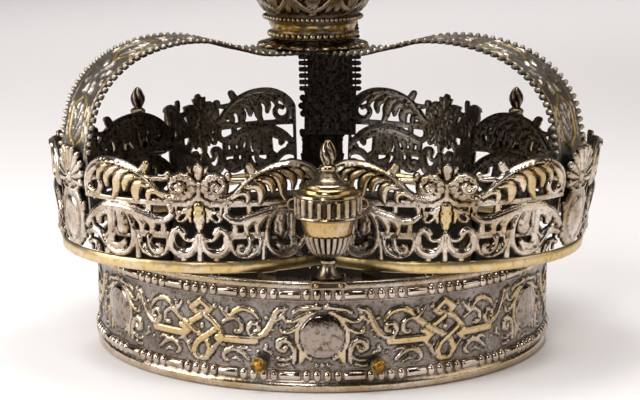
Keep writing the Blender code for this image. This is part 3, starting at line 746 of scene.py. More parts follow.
def bayDrawing():    # relief from one roundel's middle, at 0, to the next; heights up the band
    foliage = [
        leaf(0.8, 0.6, [2, 2.6, 2.2, 1.6], (1, 37.4), (6, 37), (10.4, 36.2), (12.6, 34.6)),
        leaf(0.8, 0.8, [2.2, 2.4, 2.2, 2, 1.4], (5, 35.2), (9, 33), (13, 31), (16, 31.5), (16.5, 33.7)),
        leaf(0.8, 0.8, [2.2, 2.4, 2.2, 2, 1.4], (6.5, 33.5), (10, 29.4), (14, 26.6), (17, 26.2),
             (17.9, 28.5)),
        scroll(0.95, 0.7, [2, 2.6, 3, 3.4, 3.2, 2.8, 2.6, 2.4, 2.2, 2, 1.8], (15.5, 36.6), (19.4, 35.4),
               (21.3, 31.4), (23.8, 26.8), (27, 23.9), (30.8, 24.3), (32.2, 27.2), (30.5, 29.6), (27.9, 29),
               (27.4, 26.8), (29.2, 25.9)),
        leaf(0.7, 0.3, [1.2, 2.2, 1], (16.2, 35.8), (17.6, 33), (20.6, 30.4)),
        plain(0.8, 0.1, 1.8, (24, 32), (24.1, 32.1)),
        dot(0.7, 0.1, 1.5, 19.2, 30),
        dot(0.6, 0.1, 1.3, 21, 27),
        dot(0.6, 0.1, 1.3, 22.6, 24.2),
        leaf(1, 0.3, [2.4, 2.2, 1.4], (40.6, 30.8), (43.2, 32.8), (45.2, 35.2)),
        leaf(0.9, 0.2, [1.6, 1.8, 1.2], (41.6, 31.8), (42.2, 34), (41.4, 35.6)),
        scroll(0.85, 0.4, [2, 2.4, 2.4, 2.2, 2, 2.6], (44, 28.9), (40, 31.1), (36.3, 30.4), (35, 27.4),
               (36, 25.2), (37.9, 25.2)),
        leaf(1.2, 0.1, [1.8, 2.8, 3.4, 3.6, 3.4, 3, 2.6, 2], (12.2, 13.2), (11.9, 16.4), (12.8, 20.4),
             (15.4, 22.9), (18.6, 21.8), (18.6, 19), (16.4, 18.4), (15.4, 20)),
        leaf(0.7, 0.2, [1.4, 2.2, 1.2], (13.2, 15.4), (16.4, 14.2), (19.6, 14.8)),
        leaf(0.7, 0.2, [1.2, 2, 1], (14.6, 12.6), (17.4, 11.8), (19.8, 12.2)),
        leaf(0.8, 0.2, [1.4, 2.6, 1.2], (22, 16.8), (24.4, 18.4), (24, 20.6)),
        dot(0.7, 0.1, 1.8, 27.6, 17.2),
        leaf(0.85, 0.5, [1.8, 2.8, 3, 2.8, 2.4, 1.6], (32, 13.6), (35.6, 16.6), (39.3, 17.6), (43, 15.9),
             (43.6, 13.4), (41.6, 12.2)),
        leaf(0.7, 0.2, [1, 1.8, 1], (31.4, 17.4), (34, 18.6), (36.6, 18.2)),
        leaf(0.7, 0.2, [1, 1.8, 1], (35.2, 12.4), (37.6, 13.8), (39.2, 13.2)),
        scroll(0.85, 0.5, [1.4, 2.2, 2.4, 2.2, 1.6], (43.4, 18.8), (46, 19.6), (48.2, 17.4), (50.4, 13.8),
               (54.4, 11.2)),
    ]
    strapwork = [
        band(0.8, 0.95, [1.2, 2, 2.4, 2.2, 1.2], (27, 31), (29.7, 34.3), (34.5, 35.5), (38.2, 34.2),
             (40.6, 31.6)),
        bar(0.75, 1, [3, 3.2, 3.2], (29, 21.7), (31, 21.7), (46.6, 21.7)),
        dot(0.7, 0.2, 1.6, 0, 12.2),
        dot(0.7, 0.2, 1.5, 2.4, 12.1),
        dot(0.7, 0.2, 1.5, 2.4, 38.4),
        # the roundel's half gilt frame, with a pointed corner below
        band(0.75, 0.55, [1.8, 1.9, 1.9, 1.8], *arcPath(0, 24.8, 10.9, -62, 70)),
        band(0.7, 0.9, [3.8, 1.2], (8.2, 17), (9.4, 13.2)),
    ]
    half = scaled(foliage, base["slim"], 1) + strapwork
    knot = [
        bar(0.9, 1, 2.7, (46.4, 21.7), (48.8, 23.6), (44.4, 25.2)),
        bar(0.85, 1, 2.7, (50.4, 33.6), (53.4, 31.6), (57.5, 30.8), (61, 29), (64.2, 25.8), (66.2, 21.7),
            (80.8, 21.7)),
        bar(0.85, 1, 2.7, (40.9, 31.1), (44, 28.7), (49, 25.5), (54.5, 22.2), (58.4, 19.8), (59.6, 16.2),
            (58, 12.6), (55.2, 11.2)),
        bar(0.95, 1, 2.7, (55.2, 11.2), (52.4, 12.6), (51.6, 15.6), (53.2, 18.8), (57.5, 21.8), (62, 25),
            over=True),
        bar(0.95, 1, 2.7, (50.4, 33.6), (55, 37.2), (60, 34), (56, 31), (52, 28.6), (48.6, 26.6), over=True),
        bar(0.9, 1, 2.4, (57.2, 31.2), (61, 29), (64.2, 25.8), over=True),
        bar(0.9, 1, 2.4, (46.6, 27.1), (49, 25.5), (52.4, 23.4), over=True),
        plain(0.9, 0.2, [1.9, 1.7], (55.8, 25.6), (55.8, 26.8)),
        dot(0.9, 0.6, 1.9, 48.8, 35.5),
        dot(0.9, 0.6, 1.9, 61.9, 35.2),
        dot(0.8, 0.2, 1.6, 49.4, 18.4),
        dot(0.8, 0.2, 1.6, 62, 17),
    ]
    return half + mirrored(half, base["bay"] / 2) + knot


def baseRelief():    # rise, gilt, hollow and roundel over one bay, then over all six
    perBay = base["columns"] // 6
    us = np.arange(perBay) * base["bay"] / perBay
    vs = np.linspace(base["reliefLow"], base["reliefHigh"], base["rows"])
    u, v = np.meshgrid(us, vs, indexing="ij")
    _, rise, gilt = drawRelief(u, v, bayDrawing())
    up = v - base["roundelHeight"]
    toRoundel = np.minimum(np.hypot(u, up), np.hypot(base["bay"] - u, up))
    disc = np.clip((base["roundel"] - toRoundel) / 0.5, 0, 1)
    edgeRise, middleRise = base["roundelRise"]
    rise = base["relief"] * rise * (1 - disc)
    rise = rise + disc * (edgeRise + middleRise * (1 - (toRoundel / base["roundel"]) ** 2))
    rise *= np.clip(np.minimum(v - vs[0], vs[-1] - v) / 1.2, 0, 1)
    crevice = np.clip((softened(np.vstack([rise] * 3), 4)[perBay:2 * perBay] - rise) / 0.22, 0, 1)
    ground = np.clip(1 - rise / 0.3, 0, 1)
    hollow = np.clip(0.1 + 0.46 * ground + 0.55 * crevice, 0, 1) * (1 - disc)
    gilt = np.maximum(gilt * base["gilding"], base["blush"] * np.clip(rise / 0.4, 0, 1) * (1 - disc))
    return vs, [np.vstack([field] * 6) for field in (rise, gilt, hollow, disc)]


def makeBaseWall():
    columns, rows = base["columns"], base["rows"]
    heights, (rise, gilt, hollow, disc) = baseRelief()
    # punched ground, coarse so that it shows
    matting = np.random.default_rng(7).normal(0, 0.03, (columns, rows))
    rise = rise + matting * (rise < 0.12)
    turn = np.arange(columns) * 2 * pi / columns
    top, wall, inside = base["height"], base["wall"], base["inside"]
    below = [    # radius, height, gilt, hollow: foot rim and the channel for the beads
        (wall - 0.5, 0.0, 0.3, 0.4), (wall + 0.4, 0.2, 0.4, 0.2), (wall + 1.0, 1.2, 0.5, 0.0),
        (wall + 1.0, 3.4, 0.5, 0.0), (wall + 0.5, 4.4, 0.4, 0.2), (wall, 4.9, 0.1, 0.45),
        (wall, 9.7, 0.1, 0.45), (wall + 0.4, 10.0, 0.2, 0.3), (wall + 0.4, 10.3, 0.2, 0.3)]
    above = [    # the upper channel, the rim and the inside; the inside is tarnish with painted shade for the crown's shadowed inside
        (wall + 0.4, 39.8, 0.1, 0.2), (wall + 0.4, 40.1, 0.1, 0.3), (wall, 40.3, 0.1, 0.45),
        (wall, 45.0, 0.1, 0.45), (wall + 0.5, 45.2, 0.3, 0.5), (wall + 0.6, 45.6, 0.45, 0.25),
        (wall + 0.6, 47.6, 0.5, 0.2), (wall + 0.3, top - 0.2, 0.3, 0.1), (inside + 0.8, top, 0.3, 0.1),
        (inside + 0.3, top - 0.2, 0.1, 0.3), (inside, 45.0, 0.2, 1.0), (inside, 24.0, 0.2, 1.0),
        (inside, 3.0, 0.2, 1.0), (inside + 0.3, 0.2, 0.1, 0.8)]
    rings = below + [(wall + rise[:, k], heights[k], gilt[:, k], hollow[:, k]) for k in range(rows)] + above
    full = np.ones(columns)
    points = [around(turn, radius, height) * mm + axis for radius, height, _, _ in rings]
    column = np.arange(columns)
    following = (column + 1) % columns
    faces = []
    for k in range(len(rings)):
        low, high = k * columns, (k + 1) % len(rings) * columns
        faces += np.stack([low + column, low + following, high + following, high + column], 1).tolist()
    piece = meshPiece("baseWall", np.vstack(points), faces, 60)
    paint(piece, *(np.concatenate([ring[k] * full for ring in rings]) for k in (2, 3)))
    dress(piece, baseSilver)
    piece.data.materials.append(mirrorSilver)
    bright = np.zeros((len(rings), columns), np.int32)
    bright[len(below):len(below) + rows] = (disc > 0.75).T    # the roundels' faces are burnished
    piece.data.polygons.foreach_set("material_index", bright.ravel())
    return piece


def makeBeads():    # one bead and one reel, modelled at the front and copied round both mouldings
    made = []
    turn = 360.0 / base["beadPeriods"]
    step = base["beadPitch"] / base["beadRadius"] * 180 / pi
    beadScale = [base[key] / 2 * mm for key in ("beadWide", "beadDeep", "beadTall")]
    for height in base["beadHeights"]:
        spot = polar(0, base["beadRadius"], height) * mm + axis
        bead = ball(spot, 1.0, 10, 6, beadScale)
        reel = primitive(bpy.ops.mesh.primitive_cylinder_add, spot, vertices=12, rotation=(0, pi / 2, 0),
                         radius=base["reelRadius"] * mm, depth=base["reelLong"] * mm)
        rounded(reel, 0.6 * mm, 2, 50)
        points = pointsOf(reel)
        points[:, 2] = height * mm + (points[:, 2] - height * mm) * base["reelTall"]
        across = (points[:, 0] - axis[0]) / mm
        points[:, 1] += across ** 2 / (2 * base["beadRadius"]) * mm    # bent to the band
        setPoints(reel, points)
        for k in range(base["beadPeriods"]):
            for n in range(base["beads"]):
                made.append(copyOf(bead, turn * k + (n + 0.5 - base["beads"] / 2) * step))
            made.append(copyOf(reel, turn * (k + 0.5)))
        for start in (bead, reel):
            bpy.data.objects.remove(start)
    beads = joined("beads", made)
    height = pointsOf(beads)[:, 2] / mm
    middle = np.where(height < 20, *base["beadHeights"])
    paint(beads, 0.15, np.clip(np.abs(height - middle) / 2.4 - 0.7, -0.2, 0.5))
    dress(beads, baseSilver)
    return beads


baseBand = joined("baseBand", [makeBaseWall(), makeBeads()])
finish(baseBand, "base_ring")
print("base band made")

strap = {
    "route": [(122.0, 74.0), (124.0, 92.0), (124.0, 99.0), (120.8, 114.3), (117.0, 122.2), (110.4, 129.8),
              (99.8, 136.8), (86.5, 141.0), (72.4, 142.7), (58.0, 141.6), (43.0, 137.4), (32.0, 134.8),
              (10.0, 134.2)],    # radius and height of its middle line
    "wide": 27.0, "cell": 0.7, "back": -0.75,
    "pearl": 2.6, "pearlAt": 15.0, "pearlPitch": 3.5, "pearlsFrom": 24.5,    # along from the foot
    "pin": 1.3, "pinAt": 12.25,    # pierced between the pearls
    "lineAt": 10.8, "edgeAt": 13.0,    # a fine line, and the sheet's edge that the pearls' stems leave
    "hook": ((8.6, 7.6), (9.6, 3.6), (8.9, 0.6), (8.2, 2.0)),    # scroll beside a frame, from its middle
    "flowers": (12.0, 58.0, 102.0, 146.0), "frames": (36.0, 80.0, 124.0, 168.0),    # middles
    "gridHalf": 16.8,    # so that pins fall in the middles of cells
    "backRelief": 0.45, "backTarnishAndShade": 1.03,
    "backShift": 4.2,    # of the back strap's foot, to the right
    "leanFrom": 124.0, "leanOver": 75.0,    # radii over which a strap goes over to the leaning top
}


def strapLine():
    path, _ = smoothPath(strap["route"], 0.7)
    length = np.concatenate([[0], np.cumsum(np.hypot(*np.diff(path, axis=0).T))])
    return path, length


def strapDrawing(length):    # across from the middle, along from the foot
    over = strap["wide"] / 2 + 0.5    # the sheet runs past both ends of the grid
    strokes = [bar(0.3, 0.1, strap["wide"], (0, -over), (0, length + over))]
    half = []
    for s in strap["flowers"]:    # a large flower of eight leaves
        for turn in (20, 68, 112, 160):
            x, y = sin(radians(turn)), cos(radians(turn))
            half.append(leaf(1.6, 0.25, [2, 4, 3.8, 1.4],
                             *[(r * x, s + r * y) for r in (1.6, 4.4, 7.4, 9.6)]))
        strokes.append(plain(1.7, 0.4, 4, (0, s), (0.1, s), over=True))
    for s in strap["frames"]:    # a long six-sided frame with a palmette
        half += [
            bar(0.95, 1.1, 1.6, (0, s - 12), (6.6, s - 6.4), (6.6, s + 6.4), (0, s + 12)),
            leaf(1.35, 0.15, [1.4, 2.8, 1], (0.4, s - 7), (2.4, s - 4), (4.4, s - 1.4)),
            leaf(1.35, 0.15, [1.4, 2.8, 1], (0.4, s - 3), (2.4, s + 0.6), (3.8, s + 4.4)),
            leaf(1.35, 0.15, [1.2, 2.2, 0.8], (0.4, s + 2), (1.6, s + 5.4), (1.8, s + 8.4)),
        ]
        half += [scroll(1.2, 0.3, [1.4, 1.8, 1.8, 1.6], *[(x, s + y * end) for x, y in strap["hook"]])
                 for end in (-1, 1)]
        strokes.append(leaf(1.1, 0.2, [1.6, 3.2, 1], (0, s - 8), (0, s - 2), (0, s + 6), over=True))
    strokes += half + mirrored(half)
    pitch = strap["pearlPitch"]
    for side in (-1, 1):
        line, edge, pin, at = (side * strap[key] for key in ("lineAt", "edgeAt", "pinAt", "pearlAt"))
        strokes.append(plain(0.9, 0.4, 0.9, (line, -2), (line, length + 2), straight=True))
        for k in range(int((length - strap["pearlsFrom"]) / pitch)):
            s = strap["pearlsFrom"] + k * pitch
            strokes += [dot(1.4, 0.35, strap["pearl"], at, s), plain(0.7, 0.2, 1.6, (edge, s), (at, s)),
                        hole(0, 0, strap["pin"], (pin, s + pitch / 2), (pin + 0.01, s + pitch / 2))]
    return strokes


def makeStraps():
    path, run = strapLine()
    length, half = run[-1], strap["gridHalf"]
    grid = sheetGrid(strapDrawing(length), (-half, 0), (half, length), strap["cell"], 0.0)
    slope = np.gradient(path, axis=0)
    slope = slope / np.hypot(slope[:, 0], slope[:, 1])[:, None]
    for number, lobe in enumerate(gallery["lobes"], 1):
        out, along = polar(lobe, 1, 0), polar(lobe + 90, 1, 0)
        foot = strap["backShift"] if lobe == 180.0 else 0.0

        def place(u, v, depth):
            radius, height, slopeOut, slopeUp = (
                np.interp(np.clip(v, 0, length), run, values) for values in (*path.T, *slope.T))
            part = np.clip((strap["leanFrom"] - radius) / strap["leanOver"], 0, 1)
            points = (radius + depth * slopeUp)[..., None] * out + u[..., None] * along
            points[..., 0] += foot + (lean - foot) * part
            points[..., 2] = height - depth * slopeOut
            return points * mm + axis
        ribbon = sheetPiece(f"strap{number}", grid, place, strap["back"], strap["backRelief"],
                            strap["backTarnishAndShade"])
        finish(ribbon, f"strap_{number}", strapSilver)
    print("straps made")


makeStraps()


def turnedPiece(name, profile, sides, centre, shape, angle):
    # a profile of (radius, height, gilt, hollow) from pole to pole, spun round an upright axis through
    # centre; shape(turn, radius, height) gives the section's radius all round
    turn = np.arange(sides) * 2 * pi / sides
    points, shares, rings, total = [], [], [], 0
    for radius, height, *share in profile:
        more = sides if radius else 1    # a pole is one point
        r = shape(turn, radius, height) if radius else np.zeros(1)
        points.append(around(turn[:more], r, height))
        rings.append(total + np.arange(sides) % more)
        shares.append(np.tile(share, (more, 1)))
        total += more
    faces = []
    for low, high in zip(rings, rings[1:]):
        for corner in np.stack([low, np.roll(low, -1), np.roll(high, -1), high], 1).tolist():
            face = list(dict.fromkeys(corner))
            if len(face) > 2:
                faces.append(face)
    piece = meshPiece(name, np.vstack(points) * mm + centre, faces, angle)
    paint(piece, *np.vstack(shares).T)
    return piece


def finer(profile, step):    # more rings between the given ones
    result = [profile[0]]
    for a, b in zip(profile, profile[1:]):
        count = max(1, int(np.hypot(b[0] - a[0], b[1] - a[1]) / step))
        if 0 in (a[0], b[0]):
            count = max(count, 2)
        for k in range(1, count + 1):
            result.append(tuple(x + (y - x) * k / count for x, y in zip(a, b)))
    return result


urn = {
    "places": ((1.25, 106.2), (118.9, 108.1), (240.0, 104.0)),    # direction and radius of each urn's axis
    "foot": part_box("urn_1")[0].z / mm,
    "plinthHalf": 7.6, "plinthHigh": 3.5, "plinthFrame": 0.75, "panelDeep": 0.5, "sides": 132,
    "stud": 1.15, "studOut": 5.1, "studUp": 1.8,    # at each end of the plinth's front
    "staves": 22, "gadroons": 11, "ringRadius": 2.2, "ringThick": 0.45, "ringHeight": 34.8, "ringOut": 14.4,
    "bowl": (13.3, 22.2), "drum": (31.0, 38.6), "flame": (52.0, 61.7), "twist": 0.12,
    "brown": 0.5,    # darker all over on the urns at the back
    "seat": 0.9,    # air between the plinth's notch and the base band's rim
}


def urnProfile():    # radius, height over the plinth's foot, gilt, hollow
    foot = [
        (0, 3.3, 0.2, 0.2), (5.6, 3.3, 0.2, 0.3), (5.7, 4, 0.2, 0.1), (5.2, 4.4, 0.2, 0.5),
        (4.4, 5.4, 0.2, 0.4), (3.2, 7.2, 0.2, 0.35), (2.6, 9.1, 0.2, 0.5), (2.7, 9.7, 0.2, 0.7),
        (3.6, 10.1, 0.4, 0.2), (3.7, 11.1, 0.4, 0.2), (2.9, 11.7, 0.2, 0.9)]
    bowl = [
        (3.0, 12.3, 0.1, 0.9), (5.4, 13.2, 0.1, 0.6), (7.5, 15.2, 0.1, 0.3), (9.1, 18.4, 0.1, 0.2),
        (10, 22, 0.1, 0.2), (9.5, 22.3, 0.6, 0.6), (9.9, 22.7, 0.9, 0), (10.6, 25.2, 0.9, 0),
        (11.4, 28.8, 0.9, 0.1), (12.4, 29.3, 0.7, 0.5), (13.6, 29.5, 0.4, 0.3), (14.2, 29.9, 0.4, 0),
        (14.2, 30.5, 0.4, 0)]
    drum = [
        (13.9, 30.9, 0.3, 0.5), (14.2, 31.4, 0.3, 0.2), (14.3, 38.2, 0.3, 0.2), (14, 38.6, 0.3, 0.5),
        (14.3, 39, 0.3, 0), (14.1, 39.8, 0.3, 0)]
    lid = [
        (12.9, 40.1, 0.4, 0.6), (11.9, 40.2, 0.5, 0.7), (11.5, 40.6, 0.9, 0.2), (11.3, 41.7, 0.9, 0),
        (10.4, 42.1, 0.9, 0.3), (9.9, 42.6, 0.6, 0.5), (9.7, 43.4, 0.4, 0.1), (8.8, 44, 0.3, 0.2),
        (6.9, 44.7, 0.2, 0.4), (5.4, 45.6, 0.2, 0.3), (4.5, 46.8, 0.2, 0.3), (3.5, 47.9, 0.2, 0.6)]
    finial = [
        (3.1, 48.3, 0.3, 0.4), (3.6, 49.2, 0.3, 0), (3.7, 50.2, 0.3, 0), (3.2, 51, 0.3, 0.2),
        (2.3, 51.4, 0.1, 0.8), (2.1, 52, 0.2, 0.5), (2.7, 53.2, 0.2, 0.1), (3.3, 55.2, 0.2, 0),
        (3.2, 57.4, 0.2, 0), (2.4, 59.6, 0.2, 0), (1.3, 61.2, 0.2, 0), (0, 62, 0.2, 0)]
    return foot + bowl + drum + lid + finial


def inZone(height, zone):
    return (height > zone[0]) & (height < zone[1])


def stave(turn):    # 1 on the drum's narrow uprights, 0 in the wide hollows between
    wave = np.abs(np.cos(urn["staves"] * turn / 2))
    return np.clip((wave - 0.66) / 0.2, 0, 1)


def flameWave(turn, height):
    return np.cos(6 * (turn + urn["twist"] * (height - urn["flame"][0])))


def urnSection(turn, radius, height):
    if inZone(height, urn["bowl"]):
        return radius * (1 + 0.15 * (np.abs(np.cos(urn["gadroons"] * turn)) ** 0.8 - 0.75))
    if inZone(height, urn["drum"]):
        low, high = urn["drum"]
        arch = 0.7 * (height > high - 1.6) * (1 - np.abs(np.sin(urn["staves"] * turn / 2)))    # small arches
        return radius - 1.1 * (1 - np.maximum(stave(turn), arch))
    if inZone(height, urn["flame"]):
        return radius * (0.97 + 0.1 * flameWave(turn, height))
    return radius + 0 * turn


def makeUrnBody():
    body = turnedPiece("urnBody", finer(urnProfile(), 0.75), urn["sides"], np.zeros(3), urnSection, 50)
    points = pointsOf(body) / mm
    height = points[:, 2]
    turn = np.arctan2(points[:, 0], -points[:, 1])
    hollow = layerOf(body, "hollow")
    drum, bowl, flame = (inZone(height, urn[zone]) for zone in ("drum", "bowl", "flame"))
    hollow[drum] = 0.8 * (1 - stave(turn[drum]))
    hollow[bowl] = np.clip(1.0 - 1.35 * np.abs(np.cos(urn["gadroons"] * turn[bowl])), 0, 1) + 0.12
    hollow[flame] = np.clip(0.3 - 0.7 * flameWave(turn, height)[flame], 0, 0.9)
    setLayer(body, "hollow", hollow)
    return body


def makePlinth(out):    # square, a sunk panel in each side, notched to sit over the base rim
    half, high = urn["plinthHalf"] * mm, urn["plinthHigh"] * mm
    plinth = primitive(bpy.ops.mesh.primitive_cube_add, (0, 0, high / 2), (2 * half, 2 * half, high),
                       size=1.0)
    selectByPlace(plinth, "FACE", lambda face: abs(face.normal.z) < 0.5)
    bpy.ops.mesh.inset(thickness=urn["plinthFrame"] * mm, depth=0, use_individual=True)
    bpy.ops.mesh.inset(thickness=0.3 * mm, depth=-urn["panelDeep"] * mm, use_individual=True)
    bpy.ops.object.mode_set(mode="OBJECT")
    edge = (out - base["wall"] - urn["seat"]) * mm    # the notch's face, inwards of the urn's axis
    top = (base["height"] - urn["foot"] + 0.3) * mm
    notch = primitive(bpy.ops.mesh.primitive_cube_add, (0, edge + 10 * mm, top - 5 * mm),
                      (4 * half, 20 * mm, 10 * mm), size=1.0)
    cut = plinth.modifiers.new("notch", "BOOLEAN")
    cut.operation, cut.object, cut.solver = "DIFFERENCE", notch, "EXACT"
    applyModifiers(plinth)
    bpy.data.objects.remove(notch)
    rounded(plinth, 0.18 * mm, 2, 40)
    points = pointsOf(plinth) / mm
    sunk = (np.abs(points[:, :2]).max(1) < urn["plinthHalf"] - 0.4) & (points[:, 2] < urn["plinthHigh"] - 0.4)
    paint(plinth, 0.25, np.where(sunk, 0.8, 0.25))
    parts = [plinth]
    for side in (-1, 1):
        parts.append(ball((side * urn["studOut"] * mm, -half, urn["studUp"] * mm), urn["stud"] * mm, 16, 8))
        paint(parts[-1], 0.8, 0.25)
    return parts


def makeHandles():    # a small ring at each end of the drum
    rings = []
    for side in (-1, 1):
        spot = (side * urn["ringOut"] * mm, 0, urn["ringHeight"] * mm)
        ring = primitive(bpy.ops.mesh.primitive_torus_add, spot, major_segments=20, minor_segments=8,
                         major_radius=urn["ringRadius"] * mm, minor_radius=urn["ringThick"] * mm,
                         rotation=(pi / 2, 0, 0))
        smooth(ring, 80)
        paint(ring, 0.3, 0.2)
        rings.append(ring)
    return rings


def makeUrns():
    for number, (direction, out) in enumerate(urn["places"], 1):
        whole = joined("urn", [makeUrnBody()] + makePlinth(out) + makeHandles())
        setPoints(whole, pointsOf(whole) + axis + polar(0, out, urn["foot"]) * mm)
        piece = copyOf(whole, direction)
        bpy.data.objects.remove(whole)
        piece.name = piece.data.name = f"urn{number}"
        if number > 1:    # the two at the back are made darker all over
            setLayer(piece, "hollow", layerOf(piece, "hollow") * 0.6 + urn["brown"])
        finish(piece, f"urn_{number}", urnSilver)
    print("urns made")


makeUrns()

shell = {    # a leafy oval boss with a shell above, over each joint of two panels
    "cell": 0.5, "half": 13.0, "top": 44.2,
    "bossMiddle": 13.0, "bossWide": 7.0, "bossTall": 9.4, "bossRise": 1.7,
    "seat": 0.35, "back": -0.8, "backTarnishAndShade": 0.92,
}


def shellDrawing():
    half = [
        leaf(0.9, 0.2, [2.6, 3.6, 3.4, 2.4], (2, 1.6), (7.4, 4), (9.4, 9), (9.6, 13)),
        leaf(0.9, 0.2, [2.6, 3.6, 3, 1.6], (9.6, 12.5), (9.2, 17), (7, 22), (3.4, 25.2)),
        leaf(0.9, 0.2, [2, 2.8, 1.6], (7.5, 6), (10.2, 5.6), (11.2, 7.4)),
        leaf(0.9, 0.2, [2, 2.8, 1.6], (8.4, 18.6), (10.8, 19.4), (11.2, 17.4)),
        scroll(1, 0.3, [2.2, 2.4, 2.2, 2, 1.8], (1.6, 25), (5.4, 25.4), (7.8, 28), (6.4, 30.4), (4.6, 29.2)),
    ]
    fan = []
    for turn in (0, 22, 44, 66, 88, 110):    # the shell's flutes
        x, y = sin(radians(turn)), cos(radians(turn))
        reach = 11.6 - 0.008 * turn
        fan.append(plain(1.2, 0.2, [1.8, 3.2, 4.4, 3.4], (0.8 * x, 31 + 0.8 * y), (4 * x, 31.5 + 4 * y),
                         (8 * x, 32.2 + 8 * y), (reach * x, 32.4 + reach * y), over=True))
    middle = [plain(1.3, 0.3, 4, (0, 30), (0, 31), over=True)]
    plate = [band(0.4, 0.2, [19, 20, 19], (0, 8), (0, 13), (0, 18)),
             band(0.4, 0.2, [14, 18, 14], (0, 27), (0, 32), (0, 36))]
    tip = [leaf(1, 0.3, [1.6, 5, 5], (0, 0.9), (0, 3), (0, 5))]
    tail = [leaf(1, 0.3, [1.8, 4.4, 3.4], (0, 21), (0, 24.6), (0, 28))]
    return plate + half + mirrored(half) + tip + tail + fan[::-1] + mirrored(fan[1:])[::-1] + middle


def makeShells():
    grid = sheetGrid(shellDrawing(), (-shell["half"], 0), (shell["half"], shell["top"]), shell["cell"],
                     shell["seat"])
    u, v = grid["u"], grid["v"]
    oval = 1 - ((u / shell["bossWide"]) ** 2 + ((v - shell["bossMiddle"]) / shell["bossTall"]) ** 2)
    boss = shell["seat"] + 0.3 + np.clip(oval, 0, 1) ** 0.5 * shell["bossRise"]
    grid["rise"] = np.where(oval > 0, boss, grid["rise"])
    grid["gilt"] = np.where(oval > 0.02, 0.05, grid["gilt"])
    for number, lobe in enumerate(gallery["lobes"], 1):
        def place(across, up, depth):
            height = gallery["panelFoot"] + np.clip(up, 0, None)
            return galleryPoints(lobe, across / (gallery["radius"] + 4), height, depth)
        piece = sheetPiece(f"shellCartouche{number}", grid, place, shell["back"], 0.0, shell["backTarnishAndShade"])
        finish(piece, f"shell_cartouche_{number}", gallerySilver)
    print("shells made")


makeShells()

top = {
    "rosetteFoot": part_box("rosette")[0].z / mm, "leaves": 18, "rosetteSides": 252,
    "crownFoot": crownLow.z / mm, "crownLeaves": 8, "crownSides": 264, "crownRows": 54, "crownThick": 1.3,
    "crownTall": 35.0, "crownMiddle": 25.0, "bandTall": 11.6,    # wall, its mean radius, and plain band
    "crestTall": 11.0, "notch": 5.2,    # the shaped part of the wall, and how deep its notches are
    "bosses": 15, "bossHeight": 5.2,
    "lowBeads": (42, 2.7, 19.7, 1.5), "highBeads": (64, 1.95, 22.3, 9.3),    # how many, size, radius, height
    "domeFoot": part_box("crown_dome")[0].z / mm, "domeTop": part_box("crown_dome")[1].z / mm,
    "melonRibs": 12,
}


def makeRosette():
    f, leaves = top["rosetteFoot"], top["leaves"]
    profile = [(0, f, 0, 0.9), (14, f, 0, 0.9), (23.4, f + 0.3, 0.1, 0.7), (25.9, f + 0.5, 0.1, 0.3),
               (26.1, f + 1.1, 0.15, 0.15), (25, f + 1.8, 0.15, 0.2), (21.6, f + 2.7, 0.15, 0.4),
               (17.6, f + 3.4, 0.1, 0.6), (0, f + 3.7, 0.1, 0.6)]

    def leafEdge(turn, radius, height):
        wave = np.abs(np.cos(leaves * turn / 2))
        teeth = 0.5 * np.abs(np.cos(leaves * 2.5 * turn))
        return radius - (4.2 * (1 - wave ** 0.55) + 0.5 - teeth) * min(max((radius - 17) / 6, 0.0), 1.0)
    piece = turnedPiece("leafRosette", finer(profile, 0.8), top["rosetteSides"], topAxis, leafEdge, 60)
    points = pointsOf(piece) - topAxis
    radius = np.hypot(points[:, 0], points[:, 1]) / mm
    turn = np.arctan2(points[:, 0], -points[:, 1])
    fold = np.abs(np.cos(leaves * turn / 2))
    upper = (points[:, 2] / mm > f + 1.0) & (radius > 14)
    rib = np.exp(-((1 - fold) / 0.03) ** 2) + 0.4 * np.cos(leaves * 6 * turn)
    sink = (0.6 * fold - 0.6 - 0.25 * rib) * np.clip((radius - 14) / 5, 0, 1)
    points[:, 2] += np.where(upper, sink, 0) * mm
    points[:, 2] = np.maximum(points[:, 2], f * mm)
    setPoints(piece, points + topAxis)
    hollow = 0.35 * layerOf(piece, "hollow") + np.where(upper, 0.6 * (0.45 - fold) + 0.15 * rib, 0)
    setLayer(piece, "hollow", np.clip(hollow, 0, 1))
    finish(piece, "rosette", crownSilver)


def crownDrawing():    # acanthus and shell work for one of the crown's bays, mirrored at its middle
    half = [
        leaf(1.2, 0.3, [4.6, 5.2, 4.2, 2], (0, 13), (0.6, 18), (1.6, 22), (3.6, 25.5)),
        scroll(1.3, 0.3, [2.4, 2.6, 2.6, 2.4, 2, 1.8], (0.8, 13.6), (4.6, 15), (7.6, 18.4), (7.2, 22),
               (4.6, 22.2), (4.8, 19.8), over=True),
        leaf(1.1, 0.3, [2.6, 3.8, 2], (7.6, 14), (9.4, 18.6), (8.2, 24)),
        leaf(1.1, 0.2, [3, 3.4, 2], (0, 24), (0, 29), (0, 34.3), over=True),
        leaf(1, 0.2, [2.4, 2.8, 1.4], (1.4, 26), (4.2, 28.2), (6.4, 31.4), over=True),
    ]
    return half + mirrored(half)


def crownRadius(height):    # outside of the body, by height over its foot
    heights = [0, 2.6, 3.4, 6.9, 7.9, 10.5, 11.5, 18.0, 26.0, 35.0]
    radii = [19.4, 19.4, 18.9, 20.1, 21.2, 21.2, 21.6, 26.0, 28.6, 31.4]
    return np.interp(height, heights, radii)


def beadRow(count, size, radius, height):    # pearls round the crown, modelled once and copied
    spot = (topAxis[0], topAxis[1] - radius * mm, (top["crownFoot"] + height) * mm)
    pearl = ball(spot, size / 2 * mm, 10, 6)
    row = [copyOf(pearl, 360 * k / count, topAxis) for k in range(count)]
    bpy.data.objects.remove(pearl)
    row = joined("pearls", row)
    paint(row, 0.12, -0.1)
    return row


